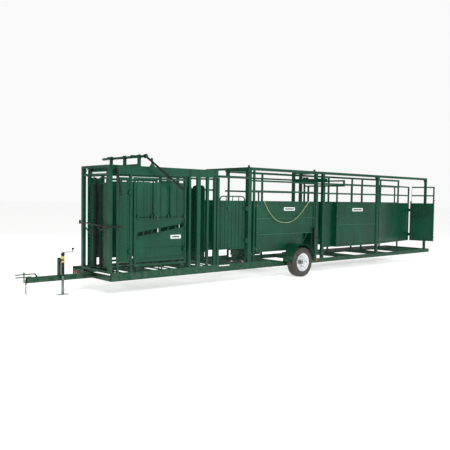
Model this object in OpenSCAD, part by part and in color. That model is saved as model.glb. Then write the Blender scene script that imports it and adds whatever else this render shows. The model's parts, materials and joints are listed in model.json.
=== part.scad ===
// Portable cattle squeeze chute, palpation cage and working alley on a two-wheeled trailer frame.
// Head end at -X, alley entry at +X, operator's side at -Y, ground at z = 0.

/* [Trailer frame] */
// Length of the two long frame rails
frame_l = 11150; // [11000:50:13400]
// Width over the frame rails
frame_w = 1520; // [1460:20:1840]
// Height of the rails' underside above the ground
rail_z = 255; // [240:5:310]
// Height of a frame rail
rail_h = 100; // [90:5:120]
// Width of a frame rail
rail_b = 50; // [45:5:60]
// Wall of the frame rails
rail_t = 5; // [4:0.5:6]
// Side of the floor tubes that lie on the rails
floor_tube = 50; // [40:5:60]
// Length of the floor tubes
floor_l = 4180; // [4000:20:5000]
// Spacing of the floor slats
slat_pitch = 230; // [180:10:280]

/* [Tongue and jack] */
// Length of the tongue in front of the frame
tongue_l = 1280; // [1070:10:1540]
// Width of the tongue tube
tongue_b = 76; // [70:2:100]
// Reach of the hitch straps in front of the tongue
strap_reach = 200; // [170:10:240]
// Diameter of the hitch pin
pin_d = 25; // [22:1:28]
// Height of the jack's crank housing top
jack_top = 770; // [740:10:900]
// Outer diameter of the jack's leg
jack_leg_d = 50; // [44:1:54]
// Reach of the crank arm
crank_r = 200; // [170:10:240]

/* [Wheels] */
// Outer diameter of the tyre
tyre_d = 688; // [570:1:830]
// Width of the tyre
tyre_w = 205; // [185:5:225]
// Diameter of the wheel rim's flange
rim_d = 420; // [400:5:440]
// Gap between the rail and the tyre's inner side
wheel_gap = 113; // [100:1:140]
// Diameter of the wheel spindle
spindle_d = 44; // [36:1:53]
// Distance of the axle from the frame's front end
axle_x = 4920; // [4850:10:5000]

/* [Head gate] */
// Width over the head gate and the squeeze cage
cage_w = 1080; // [1000:10:1300]
// Height of the top beams above the ground
beam_top = 2400; // [2380:10:2600]
// Clear gap between the two neck bars
neck_gap = 160; // [150:5:200]
// Outer diameter of a neck bar over its rubber
neck_bar_d = 70; // [60:1:74]
// Sideways travel of each head gate door
head_travel = 260; // [220:10:280]

/* [Squeeze cage] */
// Distance from the frame's front to the squeeze side's front edge
side_x = 490; // [480:5:510]
// Length of a squeeze side
side_l = 1230; // [1180:10:1245]
// Height of a squeeze side's lower edge
side_z = 500; // [490:5:520]
// Height of the rail between door and upper panels
side_mid = 1400; // [1350:10:1450]
// Side of the squeeze frame tubes
side_tube = 40; // [30:2:44]
// Diameter of the squeeze control shaft
shaft_d = 52; // [43:1:63]
// Length of the squeeze lever
lever_l = 1060; // [880:10:1100]

/* [Alley] */
// Width of the alley over its tubes
alley_w = 790; // [740:10:850]
// Height of the top rails
top_rail_z = 2510; // [2500:10:2700]
// Height of the sheeted wall's top edge
sheet_top = 1765; // [1700:5:1800]
// Height of the sheeted wall's lower edge
sheet_bottom = 610; // [580:5:660]
// Thickness of the steel sheet
sheet_t = 3; // [2:0.5:4]
// Length of the swinging side gate
side_gate_l = 2220; // [1850:10:2300]
// Length of the entry wing gate
wing_gate_l = 730; // [610:10:850]
// Travel of the sliding gate
slide_travel = 660; // [550:10:680]
// Diameter of the rope
rope_d = 14; // [12:1:20]

/* [Fits] */
// Radial running clearance of pins and shafts
fit = 0.1; // [0.05:0.01:0.1]
// Clearance between pieces that move past each other
gap = 4; // [2:0.5:6]

/* [Hidden] */

green = "#0f4d3a";
dark_green = "#0a3a2b";
charcoal = "#26292b";
zinc = "#b9bfc2";
white_paint = "#e8edf2";
tyre_grey = "#4a4744";
rope_green = "#8a9a5b";
lens_red = "#a8251c";

$fn = 48;
over = 1;                                   // welded pieces run this far into each other
tube_t = 3;                                 // wall of the light tubes
near_y = -frame_w / 2;                      // outer face of the near wall
far_y = near_y + cage_w;                    // outer face of the cage's far wall
alley_y = near_y + alley_w;                 // outer face of the alley's far wall
rail_top = rail_z + rail_h;
floor_top = rail_top + floor_tube;
mid_y = near_y + cage_w / 2;                // centre line of the head gate
beam_h = 160;                               // height of the top beams
beam_b = 60;                                // width of the top beams
beam_z = beam_top - beam_h;
post_b = 50;                                // side of the cage posts
hinge_r = 8;                                // radius of a door hinge pin
knuckle_r = 14;                             // outer radius of a hinge knuckle
hinge_out = 16;                             // hinge axis outside the near wall's face
hinge_y = near_y - hinge_out;
tyre_r = tyre_d / 2;
wheel_y = frame_w / 2 + wheel_gap + tyre_w / 2;
wheel_out = frame_w / 2 + wheel_gap + tyre_w;
upper_z = 2235;                             // top of the upper guard rail
middle_z = 2005;                            // top of the middle guard rail
guard = 38;                                 // side of the guard rail tubes
slide_x = 5895;                             // plane of the sliding gate
strap_front = -tongue_l - strap_reach;
loop_reach = 730;                           // the sliding gate's loop beyond the near wall
span_near = max(wheel_out, frame_w / 2 + loop_reach);
centre_x = (strap_front + frame_l) / 2;     // the model's origin lies under the middle of its box
centre_y = (wheel_out - span_near) / 2;

module place() translate([-centre_x, -centre_y, 0]) children();

// Hollow square tubes along each axis, given by their low corner, section and wall
module tube_x(x0, x1, y, z, b, h, t = tube_t) {
    difference() {
        translate([x0, y, z]) cube([x1 - x0, b, h]);
        translate([x0 - 1, y + t, z + t]) cube([x1 - x0 + 2, b - 2 * t, h - 2 * t]);
    }
}
module tube_y(y0, y1, x, z, b, h, t = tube_t) {
    difference() {
        translate([x, y0, z]) cube([b, y1 - y0, h]);
        translate([x + t, y0 - 1, z + t]) cube([b - 2 * t, y1 - y0 + 2, h - 2 * t]);
    }
}
module tube_z(z0, z1, x, y, b, d, t = tube_t) {
    difference() {
        translate([x, y, z0]) cube([b, d, z1 - z0]);
        translate([x + t, y + t, z0 - 1]) cube([b - 2 * t, d - 2 * t, z1 - z0 + 2]);
    }
}
module block(x0, x1, y0, y1, z0, z1) translate([x0, y0, z0]) cube([x1 - x0, y1 - y0, z1 - z0]);
module rod_x(x0, x1, y, z, r) translate([x0, y, z]) rotate([0, 90, 0]) cylinder(r = r, h = x1 - x0);
module rod_y(y0, y1, x, z, r) translate([x, y0, z]) rotate([-90, 0, 0]) cylinder(r = r, h = y1 - y0);
module rod_z(z0, z1, x, y, r) translate([x, y, z0]) cylinder(r = r, h = z1 - z0);
module mirror_y(y) translate([0, y, 0]) mirror([0, 1, 0]) translate([0, -y, 0]) children();

// Upright hinge: a pin between two lugs on the fixed side, and the knuckle that turns on it.
// The lugs reach from the pin to y = reach; toward is the direction of the post along X.
hinge_h = 70;
lug_t = 8;
module hinge_pin_at(x, z, reach = near_y + over, toward = 1, y = hinge_y) {
    rod_z(z - lug_t, z + hinge_h + lug_t, x, y, hinge_r);
    for (lug_z = [z - lug_t, z + hinge_h]) {
        difference() {
            union() {
                rod_z(lug_z, lug_z + lug_t, x, y, knuckle_r);
                translate([x + (toward > 0 ? 0 : -30), y, lug_z]) cube([30, reach - y, lug_t]);
            }
            rod_z(lug_z - 1, lug_z + lug_t + 1, x, y, hinge_r - 1);
        }
    }
}
module knuckle_at(x, z, reach, toward = -1, y = hinge_y) {
    play = 0.5;
    difference() {
        union() {
            rod_z(z + play, z + hinge_h - play, x, y, knuckle_r);
            translate([x + (toward > 0 ? 0 : -34), y - 4, z + play]) cube([34, reach - y + 4, hinge_h - 2 * play]);
        }
        rod_z(z, z + hinge_h, x, y, hinge_r + fit);
    }
}

// ---------- trailer frame ----------
module near_rail() color(green) place() tube_x(0, frame_l, near_y, rail_z, rail_b, rail_h, rail_t);
module far_rail() color(green) place() tube_x(0, frame_l, -near_y - rail_b, rail_z, rail_b, rail_h, rail_t);

cross_xs = [0, 1150, 2300, 3450, 4600, 5850, 7400, 8900, 10300, frame_l - 50];
keel_y = far_y - 60;                        // the long floor tube under the cage's far wall
module floor_frame() {
    color(green) place() {
        for (x = cross_xs)
            tube_y(near_y + rail_b, -near_y - rail_b, x, rail_z, 50, rail_h, 4);
        for (y = [near_y, -near_y - floor_tube])
            tube_x(0, floor_l, y, rail_top, floor_tube, floor_tube);
        tube_x(0, 3600, keel_y, rail_top + 0.5, 60, floor_tube - 0.5);
        squeeze_hinge_pins();
    }
}

slat_h = 20;
slat_b = 40;
module floor_slats() {
    color(green) place()
        for (x = [250 : slat_pitch : 3400])
            difference() {
                block(x, x + slat_b, near_y + floor_tube + 2, keel_y - 2, floor_top - slat_h, floor_top);
                block(x + 3, x + slat_b - 3, near_y, far_y, floor_top - slat_h - 1, floor_top - 4);
            }
}

eye_r = 8;
eye_x = -tongue_l - 12;
eye_z = rail_z - 14;                        // centre of the chain's eye
jack_x = -630;
jack_y = -92;
swivel_z = 630;
module tongue() {
    color(green) place() {
        difference() {
            union() {
                tube_x(-tongue_l, 0, -tongue_b / 2, rail_z, tongue_b, rail_h, 6);
                tube_z(rail_top - over, swivel_z + 45, jack_x - 55, -25, 50, 50, 4);
                rod_y(-46, -24, jack_x - 30, swivel_z, 34);
                block(-tongue_l - 26, -tongue_l + 5, -3, 3, eye_z - 16, rail_z + 60);
            }
            rod_y(-10, 10, eye_x, eye_z, eye_r);
            rod_y(-60, 0, jack_x - 30, swivel_z, 16);
        }
        for (s = [-1, 1])
            linear_extrude_gusset(s);
    }
}
module linear_extrude_gusset(side) {
    translate([0, 0, rail_z + 40])
        linear_extrude(height = 8)
            polygon([[-220, side * (tongue_b / 2 - over)], [0, side * (tongue_b / 2 - over)], [0, side * 260]]);
}

pin_x = -tongue_l - 45;
strap_t = 12;
strap_gap = 38;
module hitch_straps() {
    color(green) place()
        difference() {
            union() {
                block(strap_front, -tongue_l + 90, -32, 32, rail_top, rail_top + strap_t);
                translate([0, 32, 0]) rotate([90, 0, 0]) linear_extrude(height = 64)
                    polygon([
                        [strap_front, rail_top + strap_t + strap_gap],
                        [-tongue_l + 150, rail_top + strap_t + strap_gap],
                        [-tongue_l + 190, rail_top],
                        [-tongue_l + 205, rail_top],
                        [-tongue_l + 160, rail_top + 2 * strap_t + strap_gap],
                        [strap_front, rail_top + 2 * strap_t + strap_gap]
                    ]);
            }
            rod_z(rail_top - 1, rail_top + strap_gap + 2 * strap_t + 1, pin_x, 0, pin_d / 2 + fit);
        }
}

spindle_end = wheel_y + 20;
module axle_stubs() {
    color(green) place()
        for (s = [-1, 1])
            scale_side(s) {
                block(axle_x - 75, axle_x + 75, -near_y, -near_y + 12, rail_z - 8, tyre_r + 76);
                rod_y(-near_y + 8, -near_y + 60, axle_x, tyre_r, 38);
                rod_y(-near_y + 50, spindle_end, axle_x, tyre_r, spindle_d / 2);
            }
}
module scale_side(s) { if (s > 0) children(); else mirror([0, 1, 0]) children(); }

// Folded sheet fender: six corners, a thin skin and an inner cheek plate
fender_gap = 67;                            // room over the tyre
fender_k = (tyre_r + fender_gap) / 411;
fender_pts = fender_k * [[-360, 20], [-350, 146], [-150, 411], [150, 411], [370, 236], [420, 26]];
fender_in = [for (p = fender_pts) [p[0] * 0.988, p[1] < 40 ? p[1] - 10 : p[1] - 5]];
module fender(s) {
    color(green) place() scale_side(s) translate([axle_x, 0, tyre_r])
        rotate([90, 0, 0]) {
            translate([0, 0, -wheel_out])
                linear_extrude(height = wheel_out + near_y - 13) difference() {
                    polygon(fender_pts);
                    polygon(fender_in);
                }
            translate([0, 0, near_y - 16]) linear_extrude(height = 3)
                difference() {
                    polygon(fender_pts);
                    circle(r = 130);
                    translate([-130, -130]) square([260, 130]);
                }
        }
}
module near_fender() fender(-1);
module far_fender() fender(1);

module marker_lights() {
    color(lens_red) place() {
        block(5745, 5805, near_y - 22, near_y - 0.5, rail_top - 55, rail_top - 15);
        for (y = [560, 650])
            block(-12, -0.5, y, y + 50, rail_z + 30, rail_z + 60);
    }
}

// ---------- head gate ----------
gate_x0 = -45;                              // front face of the head gate
gate_post_b = 60;                           // depth of the front posts along the frame
door_x0 = gate_x0 + gate_post_b + gap;      // doors run between the front and the rear posts
door_x1 = door_x0 + neck_bar_d;
head_y = mid_y + 60;                        // the neck bars close beside the cage's centre line
back_x = 115;                               // front face of the rear posts
sill_t = 10;
gate_post = 80;
module headgate_frame() {
    color(green) place() {
        block(gate_x0 - 5, back_x - 3, near_y, far_y, floor_top, floor_top + sill_t);
        for (y = [near_y, far_y - gate_post])
            tube_z(floor_top + sill_t - over, beam_top, gate_x0, y, gate_post_b, gate_post, 4);
        for (x = [gate_x0, door_x1 + gap])
            block(x, x + 6, near_y + gate_post - over, far_y - gate_post + over, floor_top, floor_top + 45);
        // pivot of the head gate's lever
        block(gate_x0 + 12, head_lever_x + 26, near_y - 12, near_y + over, head_lever_z - 30, beam_top);
        rod_y(head_lever_y - 14.5, near_y, head_lever_x, head_lever_z, 12);
        for (y = [head_lever_y - 20.5, head_lever_y + 14.5])
            rod_y(y, y + 6, head_lever_x, head_lever_z, 20);
        // pivot of the nose bar
        rod_z(nose_z - 38, nose_z + 38, nose_x, nose_hinge_y, 9);
        for (z = [nose_z - 38, nose_z + 30.5])
            block(nose_x - 12, gate_x0 + over, nose_hinge_y - 12, nose_hinge_y + 12, z, z + 7.5);
    }
}

module headgate_top_box() {
    bay = (cage_w - 2 * gate_post) / 6;
    color(green) place() {
        tube_y(near_y + gate_post + 0.5, far_y - gate_post - 0.5, gate_x0, beam_top - 50, 50, 50);
        tube_y(near_y + gate_post + 0.5, far_y - gate_post - 0.5, gate_x0, beam_z - 35, 50, 45);
        for (i = [0 : 5])
            strut(near_y + gate_post + i * bay + 3, beam_z + 9, bay - 6, beam_h - 58, i % 2 == 0);
        // door track: an inverted channel with the rear tie tube
        block(door_x0 - gap, door_x1 + gap, near_y - 30, far_y + 30, beam_z - 2, beam_z + 4);
        block(gate_x0 + 48, gate_x0 + 54, near_y + gate_post + 1, far_y - gate_post - 1, beam_z - 30, beam_z + 4);
        block(gate_x0 + 50, door_x0, near_y + gate_post + 1, far_y - gate_post - 1, beam_z - 2, beam_z + 4);
        block(door_x1 + gap, door_x1 + gap + 6, near_y - 30, far_y + 30, beam_z - 40, beam_z + 4);
        tube_y(near_y + 62, far_y - 62, back_x, beam_top - 50, 45, 50);
        for (y = [near_y + gate_post + 40, far_y - gate_post - 90])
            block(gate_x0 + 48, back_x + 2, y, y + 50, beam_top - 30, beam_top - 22);
        // fork of the release handle
        for (y = [release_y - 20, release_y + 13.5])
            block(release_x - 12, gate_x0 + over, y, y + 6.5, release_z - 12, beam_z - 20);
        rod_y(release_y - 20, release_y + 20, release_x, release_z, 8);
    }
}
release_x = gate_x0 - 22;
release_y = mid_y + 190;
release_z = 2020;
// One flat bar of the truss, rising to the left or to the right
module strut(y, z, run, rise, up) {
    w = 26;
    translate([gate_x0 + 22, 0, 0]) rotate([90, 0, 90]) linear_extrude(height = 6)
        polygon(up
            ? [[y, z - over], [y + w, z - over], [y + run, z + rise], [y + run - w, z + rise]]
            : [[y + run, z - over], [y + run - w, z - over], [y, z + rise], [y + w, z + rise]]);
}

// A door: neck bar, sheet leaf, end tube and two rollers. side = 1 is the far door.
door_leaf = 260;
door_bottom = floor_top + sill_t + gap + 40;
door_top = beam_z - 60;
bar_r = neck_bar_d / 2;
core_r = bar_r - 8;
bar_y = neck_gap / 2 + bar_r;
door_cx = (door_x0 + door_x1) / 2;
module head_door(s) {
    translate([0, head_y, 0]) scale_side(s) {
        rod_z(door_bottom, door_top, door_cx, bar_y, core_r);
        block(door_cx + 4, door_cx + 4 + sheet_t, bar_y, bar_y + door_leaf, door_bottom + 30, door_top - 120);
        tube_z(door_bottom, door_top, door_cx - 12, bar_y + door_leaf - 15, 30, 30);
        for (z = [door_bottom, door_bottom + 560, door_top - 130, door_top - 30])
            block(door_cx - 6, door_cx + 5, bar_y, bar_y + door_leaf - 14, z, z + 30);
        for (y = [bar_y + 40, bar_y + door_leaf - 40]) {
            block(door_cx - 4, door_cx + 4, y - 12, y + 12, door_top - 5, beam_z - 10);
            rod_x(door_cx - 18, door_cx + 18, y, beam_z - 24, 18);
        }
    }
}
module near_head_door() color(green) place() head_door(-1);
module far_head_door() color(green) place() head_door(1);
pad_z0 = door_bottom + 34;
pad_z1 = door_top - 134;
module neck_pad(s) {
    translate([0, head_y, 0]) scale_side(s)
        difference() {
            rod_z(pad_z0, pad_z1, door_cx, bar_y, bar_r);
            rod_z(pad_z0 - 1, pad_z1 + 1, door_cx, bar_y, core_r);
            for (z = [door_bottom + 558])
                block(door_cx - 8, door_cx + 8, bar_y, bar_y + 50, z, z + 34);
            block(door_cx + 3, door_cx + 5 + sheet_t, bar_y, bar_y + 50, pad_z0 - 5, pad_z1 + 5);
        }
}
module near_neck_pad() color(charcoal) place() neck_pad(-1);
module far_neck_pad() color(charcoal) place() neck_pad(1);

head_lever_x = 40;
head_lever_z = beam_top - 30;
head_lever_y = near_y - 100;
module headgate_lever() {
    color(charcoal) place() {
        difference() {
            rod_y(head_lever_y - 14, head_lever_y + 14, head_lever_x, head_lever_z, 26);
            rod_y(head_lever_y - 20, head_lever_y + 20, head_lever_x, head_lever_z, 12 + fit);
        }
        translate([head_lever_x, head_lever_y, head_lever_z]) rotate([0, 180 - 11, 0]) {
            translate([0, 0, 22]) cylinder(r = 13, h = 360);
            translate([0, 0, 380]) cylinder(r = 17, h = 170);
        }
    }
}

module release_handle() {
    color(charcoal) place()
        difference() {
            union() {
                rod_z(release_z - 460, release_z - 10, release_x, release_y, 12);
                rod_z(release_z - 480, release_z - 320, release_x, release_y, 16);
                rod_y(release_y - 13, release_y + 13, release_x, release_z, 16);
            }
            rod_y(release_y - 22, release_y + 22, release_x, release_z, 8 + fit);
        }
}

nose_z = 1320;
nose_x = gate_x0 - 42;
nose_hinge_y = far_y - 26;
nose_tip_y = near_y - 75;
nose_fall = 50;                             // the bar's near end lies this much lower
nose_slope = nose_fall / (nose_hinge_y - nose_tip_y);
function nose_bar_z(y) = nose_z - (nose_hinge_y - y) * nose_slope;
// A bent flat stay under the bar, from y0 down to its low point and up to y1
module nose_stay(y0, low_y, low_z, y1) {
    w = 18;
    translate([nose_x - 7, 0, 0]) rotate([90, 0, 90]) linear_extrude(height = 14)
        polygon([[y0, nose_bar_z(y0) - w / 2], [low_y, low_z], [y1, nose_bar_z(y1) - w / 2],
            [y1, nose_bar_z(y1) + w / 2], [low_y, low_z + w * 1.4], [y0, nose_bar_z(y0) + w / 2]]);
}
module nose_bar() {
    color(charcoal) place() {
        difference() {
            union() {
                rod_z(nose_z - 30, nose_z + 30, nose_x, nose_hinge_y, 18);
                translate([nose_x, nose_hinge_y - 12, nose_bar_z(nose_hinge_y - 12)])
                    rotate([90 + atan(nose_slope), 0, 0])
                        cylinder(r = 13, h = (nose_hinge_y - 12 - nose_tip_y) / cos(atan(nose_slope)));
                block(nose_x - 14, nose_x + 240, nose_tip_y - 14, nose_tip_y + 10,
                    nose_bar_z(nose_tip_y) - 16, nose_bar_z(nose_tip_y) + 16);
                nose_stay(head_y - 120, head_y + 30, nose_z - 230, nose_hinge_y - 90);
                nose_stay(nose_tip_y + 90, head_y - 360, nose_z - 140, head_y - 190);
            }
            rod_z(nose_z - 31, nose_z + 31, nose_x, nose_hinge_y, 9 + fit);
        }
    }
}

// ---------- squeeze cage: fixed posts and beams ----------
near_xs = [390, 1780, 1990, 2250, 2440, 2530];
near_ws = [50, 50, 90, 50, 60, 60];           // widths of the posts along the frame
tail_x = 2275;                              // plane of the tail gates
module near_posts() {
    color(green) place() {
        tube_z(floor_top, beam_z, back_x, near_y, 40, 40);
        for (i = [0 : len(near_xs) - 1])
            tube_z(floor_top, beam_z, near_xs[i], near_y, near_ws[i], post_b);
        for (z = [760, 1860])
            hinge_pin_at(near_xs[0] - 8, z, near_y + 20, 1);
        tail_hinges(near_y + 30);
    }
}
// Pins for the tail gates, held inside the hinge posts
tail_hinge_in = 85;
module tail_hinges(from_y) {
    for (z = [700, 1700])
        for (lug_z = [z - lug_t, z + hinge_h])
            difference() {
                block(tail_x - 15, tail_x + 15, from_y, near_y + tail_hinge_in + 14, lug_z, lug_z + lug_t);
                rod_z(lug_z - 1, lug_z + lug_t + 1, tail_x, near_y + tail_hinge_in, hinge_r - 1);
            }
    for (z = [700, 1700])
        rod_z(z - lug_t, z + hinge_h + lug_t, tail_x, near_y + tail_hinge_in, hinge_r);
}
module far_posts() {
    color(green) place() {
        mirror_y(mid_y) {
            tube_z(floor_top, beam_z, back_x, near_y, 40, 40);
            for (i = [0 : len(near_xs) - 1])
                tube_z(floor_top, beam_z, near_xs[i], near_y, near_ws[i], post_b);
            tail_hinges(near_y + 30);
            block(back_x + 30, near_xs[0] + 10, near_y + 20, near_y + 20 + sheet_t, 600, 2180);
            block(near_xs[1] + 40, near_xs[3] + 10, near_y + 20, near_y + 20 + sheet_t, 560, 2180);
            block(2570, 3400, near_y + 20, near_y + 20 + sheet_t, sheet_bottom, sheet_top);
            tube_z(floor_top, upper_z, 3380, near_y, 40, 40);
            for (z = [sheet_top - 30, 1985, upper_z])
                tube_x(2579, 3419, near_y, z, guard, guard);
        }
    }
}

beam_l = 2550;
module top_beams() {
    color(green) place()
        for (y = [near_y, far_y - beam_b])
            tube_x(door_x1 + gap + 6, beam_l, y, beam_z, beam_b, beam_h, 5);
}

shaft_x = 600;
shaft_z = beam_top + 180;
bearing_r = shaft_d / 2 + 16;
upright_ys = [near_y + 5, mid_y - 25, far_y - 55];
module shaft_uprights() {
    color(green) place() {
        difference() {
            union() {
                for (y = upright_ys) {
                    tube_z(y == upright_ys[1] ? beam_top + 39 : beam_top, shaft_z, shaft_x - 25, y, 50, 50);
                    rod_y(y, y + 50, shaft_x, shaft_z, bearing_r);
                }
                tube_y(near_y + beam_b + 2, far_y - beam_b - 2, shaft_x - 25, beam_top - 10, 50, 50);
            }
            rod_y(near_y - 10, far_y + 10, shaft_x, shaft_z, shaft_d / 2 + fit);
        }
        // lever rod guide on the near beam
        difference() {
            translate([0, near_y + 20, 0]) rotate([90, 0, 0]) linear_extrude(height = 8)
                polygon([[820, beam_top], [960, beam_top], [905, beam_top + 60], [905, beam_top + 150],
                         [865, beam_top + 150], [865, beam_top + 60]]);
            rod_y(near_y, near_y + 40, 885, beam_top + 120, 9);
        }
        rod_y(near_y + 19, near_y + 34, 885, beam_top + 150, 22);
    }
}

module control_shaft() {
    color(green) place() {
        rod_y(near_y - 230, far_y + 290, shaft_x, shaft_z, shaft_d / 2);
        for (y = [near_y + 90, far_y - 130])
            difference() {
                hull_arm(y);
                rod_y(y - 1, y + 41, shaft_x - 115, shaft_z + 2, 9);
            }
    }
}
// Crank arm that drives a squeeze side
module hull_arm(y) {
    block(shaft_x - 115, shaft_x, y, y + 40, shaft_z - 22, shaft_z + 26);
    rod_y(y, y + 40, shaft_x - 115, shaft_z + 2, 24);
}

lever_y = near_y - 190;
lever_tilt = 34;
module squeeze_lever() {
    color(charcoal) place() {
        difference() {
            rod_y(lever_y - 22, lever_y + 22, shaft_x, shaft_z, shaft_d / 2 + 14);
            rod_y(lever_y - 30, lever_y + 30, shaft_x, shaft_z, shaft_d / 2);
        }
        translate([shaft_x, lever_y, shaft_z]) rotate([0, 90 + lever_tilt, 0]) {
            translate([0, 0, shaft_d / 2 + 8]) cylinder(r = 20, h = lever_l - shaft_d / 2 - 8);
            translate([0, 0, lever_l - 180]) cylinder(r = 23, h = 190);
        }
    }
}

// ---------- squeeze sides ----------
pivot_z = side_z - 30;
pivot_y = near_y + 35;
pivot_r = 12;
pivot_xs = [side_x + 60, side_x + side_l / 2 - 30, side_x + side_l - 120];
module squeeze_hinge_pins() {
    for (m = [0, 1])
        flip_about(m, mid_y)
            for (x = pivot_xs) {
                rod_x(x - 8, x + 68, pivot_y, pivot_z, pivot_r);
                for (lug_x = [x - 8, x + 60])
                    block(lug_x, lug_x + 8, pivot_y - 14, pivot_y + 14, floor_top - over, pivot_z + 14);
            }
}
module flip_about(m, y) { if (m == 0) children(); else mirror_y(y) children(); }

side_top = 2190;
side_y = near_y + 15;
side_x1 = side_x + side_l;
module side_frame() {
    tube_z(side_z, side_top, side_x, side_y, side_tube, side_tube);
    tube_z(side_z, side_top, side_x1 - side_tube, side_y, side_tube, side_tube);
    for (z = [side_z, side_z + 80, side_mid, side_top - side_tube])
        tube_x(side_x + tube_t - over, side_x1 - tube_t + over, side_y, z, side_tube, side_tube);
    for (x = pivot_xs)
        difference() {
            union() {
                rod_x(x + 0.5, x + 59.5, pivot_y, pivot_z, 20);
                block(x + 0.5, x + 59.5, pivot_y - 10, pivot_y + 10, pivot_z, side_z + over);
            }
            rod_x(x - 1, x + 61, pivot_y, pivot_z, pivot_r + fit);
        }
}
module near_squeeze_side() {
    color(green) place() {
        difference() {
            side_frame();
            // seats for the drop panel hinges
            for (p = panel_xs)
                block(p[0] - 3, p[1] + 3, side_y - 1, side_y + 12, side_mid + side_tube - 14, side_mid + side_tube + 1);
        }
        for (z = [760, 1240])
            hinge_pin_at(side_x1 - 48, z, side_y + 10, 1);
        for (p = panel_xs)
            for (x = [p[0] + 6, p[1] - 36]) {
                rod_x(x - 6, x + 36, drop_y, drop_z, 6);
                for (lug_x = [x - 6, x + 30])
                    block(lug_x, lug_x + 6, drop_y - 10, side_y + 4, drop_z - 10, drop_z + 6);
            }
    }
}

panel_xs = [[side_x + 48, side_x + 405], [side_x + 432, side_x + 795], [side_x + 825, side_x + side_l - 45]];
drop_z = side_mid + side_tube - 22;
drop_y = side_y - 14;
panel_top = 2110;
// An upper access panel: ribbed sheet with rounded top corners, hinged along its lower edge
module drop_panel(i) {
    x0 = panel_xs[i][0];
    x1 = panel_xs[i][1];
    z0 = side_mid + side_tube + gap;
    r = 70;
    color(green) place() {
        difference() {
            translate([0, side_y + 8 + sheet_t, 0]) rotate([90, 0, 0]) linear_extrude(height = sheet_t) {
                translate([x0, z0]) square([x1 - x0, panel_top - r - z0]);
                translate([x0 + r, panel_top - r - over]) square([x1 - x0 - 2 * r, r + over]);
                for (x = [x0 + r, x1 - r])
                    translate([x, panel_top - r]) circle(r = r);
            }
        }
        for (x = [x0 + 8, (x0 + x1) / 2 - 10, x1 - 28])
            block(x, x + 20, side_y + 1, side_y + 9, z0 + 2, panel_top - r);
        for (x = [x0 + 6, x1 - 36])
            difference() {
                union() {
                    rod_x(x + 0.5, x + 29.5, drop_y, drop_z, 11);
                    block(x + 0.5, x + 29.5, drop_y - 11, drop_y - 5, drop_z, z0 + 40);
                    block(x + 0.5, x + 29.5, drop_y - 11, side_y + 9, z0 + 4, z0 + 40);
                }
                rod_x(x - 1, x + 31, drop_y, drop_z, 6 + fit);
            }
    }
}
module drop_panel_front() drop_panel(0);
module drop_panel_middle() drop_panel(1);
module drop_panel_rear() drop_panel(2);

door_z0 = side_z + 80 + side_tube + gap;
door_z1 = side_mid - gap;
door_ax = side_x + side_tube + gap + 2;
door_bx = side_x1 - 48 - gap;
// Lower access door with its slanting slot and the five hooked bars behind it
module side_door() {
    y = side_y + 4;
    slot_lo = door_z0 + 0.66 * (door_z1 - door_z0);
    slot_hi = door_z0 + 0.83 * (door_z1 - door_z0);
    color(green) place() {
        difference() {
            union() {
                block(door_ax, door_bx, y + 12, y + 12 + sheet_t, door_z0, door_z1);
                for (x = [door_ax, door_bx - 30])
                    tube_z(door_z0, door_z1, x, y, 30, 30);
                for (z = [door_z0, door_z1 - 30])
                    tube_x(door_ax + 2, door_bx - 2, y, z, 30, 30);
                block(door_ax + 20, door_bx - 20, y + 6, y + 13, door_z0 + 215, door_z0 + 223);
            }
            translate([0, y + 60, 0]) rotate([90, 0, 0]) linear_extrude(height = 52)
                polygon([[door_ax + 36, slot_lo - 62], [door_bx - 36, slot_hi - 40],
                         [door_bx - 36, slot_hi + 30], [door_ax + 36, slot_lo + 12]]);
        }
        slant = atan((slot_hi - slot_lo) / (door_bx - door_ax));
        translate([door_ax + 29, y - 2, slot_lo - 95]) rotate([0, -slant, 0])
            cube([door_bx - door_ax - 54, 16, 26]);
        for (i = [0 : 4])
            translate([door_ax + 150 + i * 190, y + 14, slot_lo - 66 + i * 190 * tan(slant)]) rotate([0, 14, 0])
                cube([22, 8, 112]);
        block(door_ax - 1, door_ax + 50, y - 16, y + 1, door_z0 + 420, door_z0 + 440);
        for (z = [760, 1240])
            knuckle_at(side_x1 - 48, z, y + 2, -1);
    }
}

module far_squeeze_side() {
    color(green) place() mirror_y(mid_y) {
        side_frame();
        block(side_x + 20, side_x1 - 20, side_y + 16, side_y + 16 + sheet_t, side_z + 90, side_mid + 10);
        block(side_x + 30, side_x1 - 30, side_y + 16, side_y + 16 + sheet_t, side_mid + 30, side_top - 60);
        for (p = panel_xs)
            for (x = [p[0] + 40, p[1] - 70])
                block(x, x + 30, side_y + 12, side_y + 17, side_top - 70, side_top - side_tube + 5);
    }
}

// ---------- neck door and tail gates ----------
module neck_door() {
    x0 = back_x + 48;
    x1 = near_xs[0] - 16;
    color(green) place() {
        difference() {
            block(x0, x1, near_y + 10, near_y + 10 + sheet_t, 600, 2180);
            block(x0 + 60, x1 - 60, near_y, near_y + 20, 2080, 2135);
            for (x = [x0 + 60, x1 - 60])
                rod_y(near_y, near_y + 20, x, 2107.5, 27.5);
        }
        for (x = [x0, x1 - 26])
            block(x, x + 26, near_y + 4, near_y + 11, 600, 2180);
        for (z = [600, 1250, 2150])
            block(x0 + 20, x1 - 20, near_y + 4, near_y + 11, z, z + 30);
        for (z = [760, 1860])
            knuckle_at(near_xs[0] - 8, z, near_y + 11, -1);
    }
}

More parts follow.
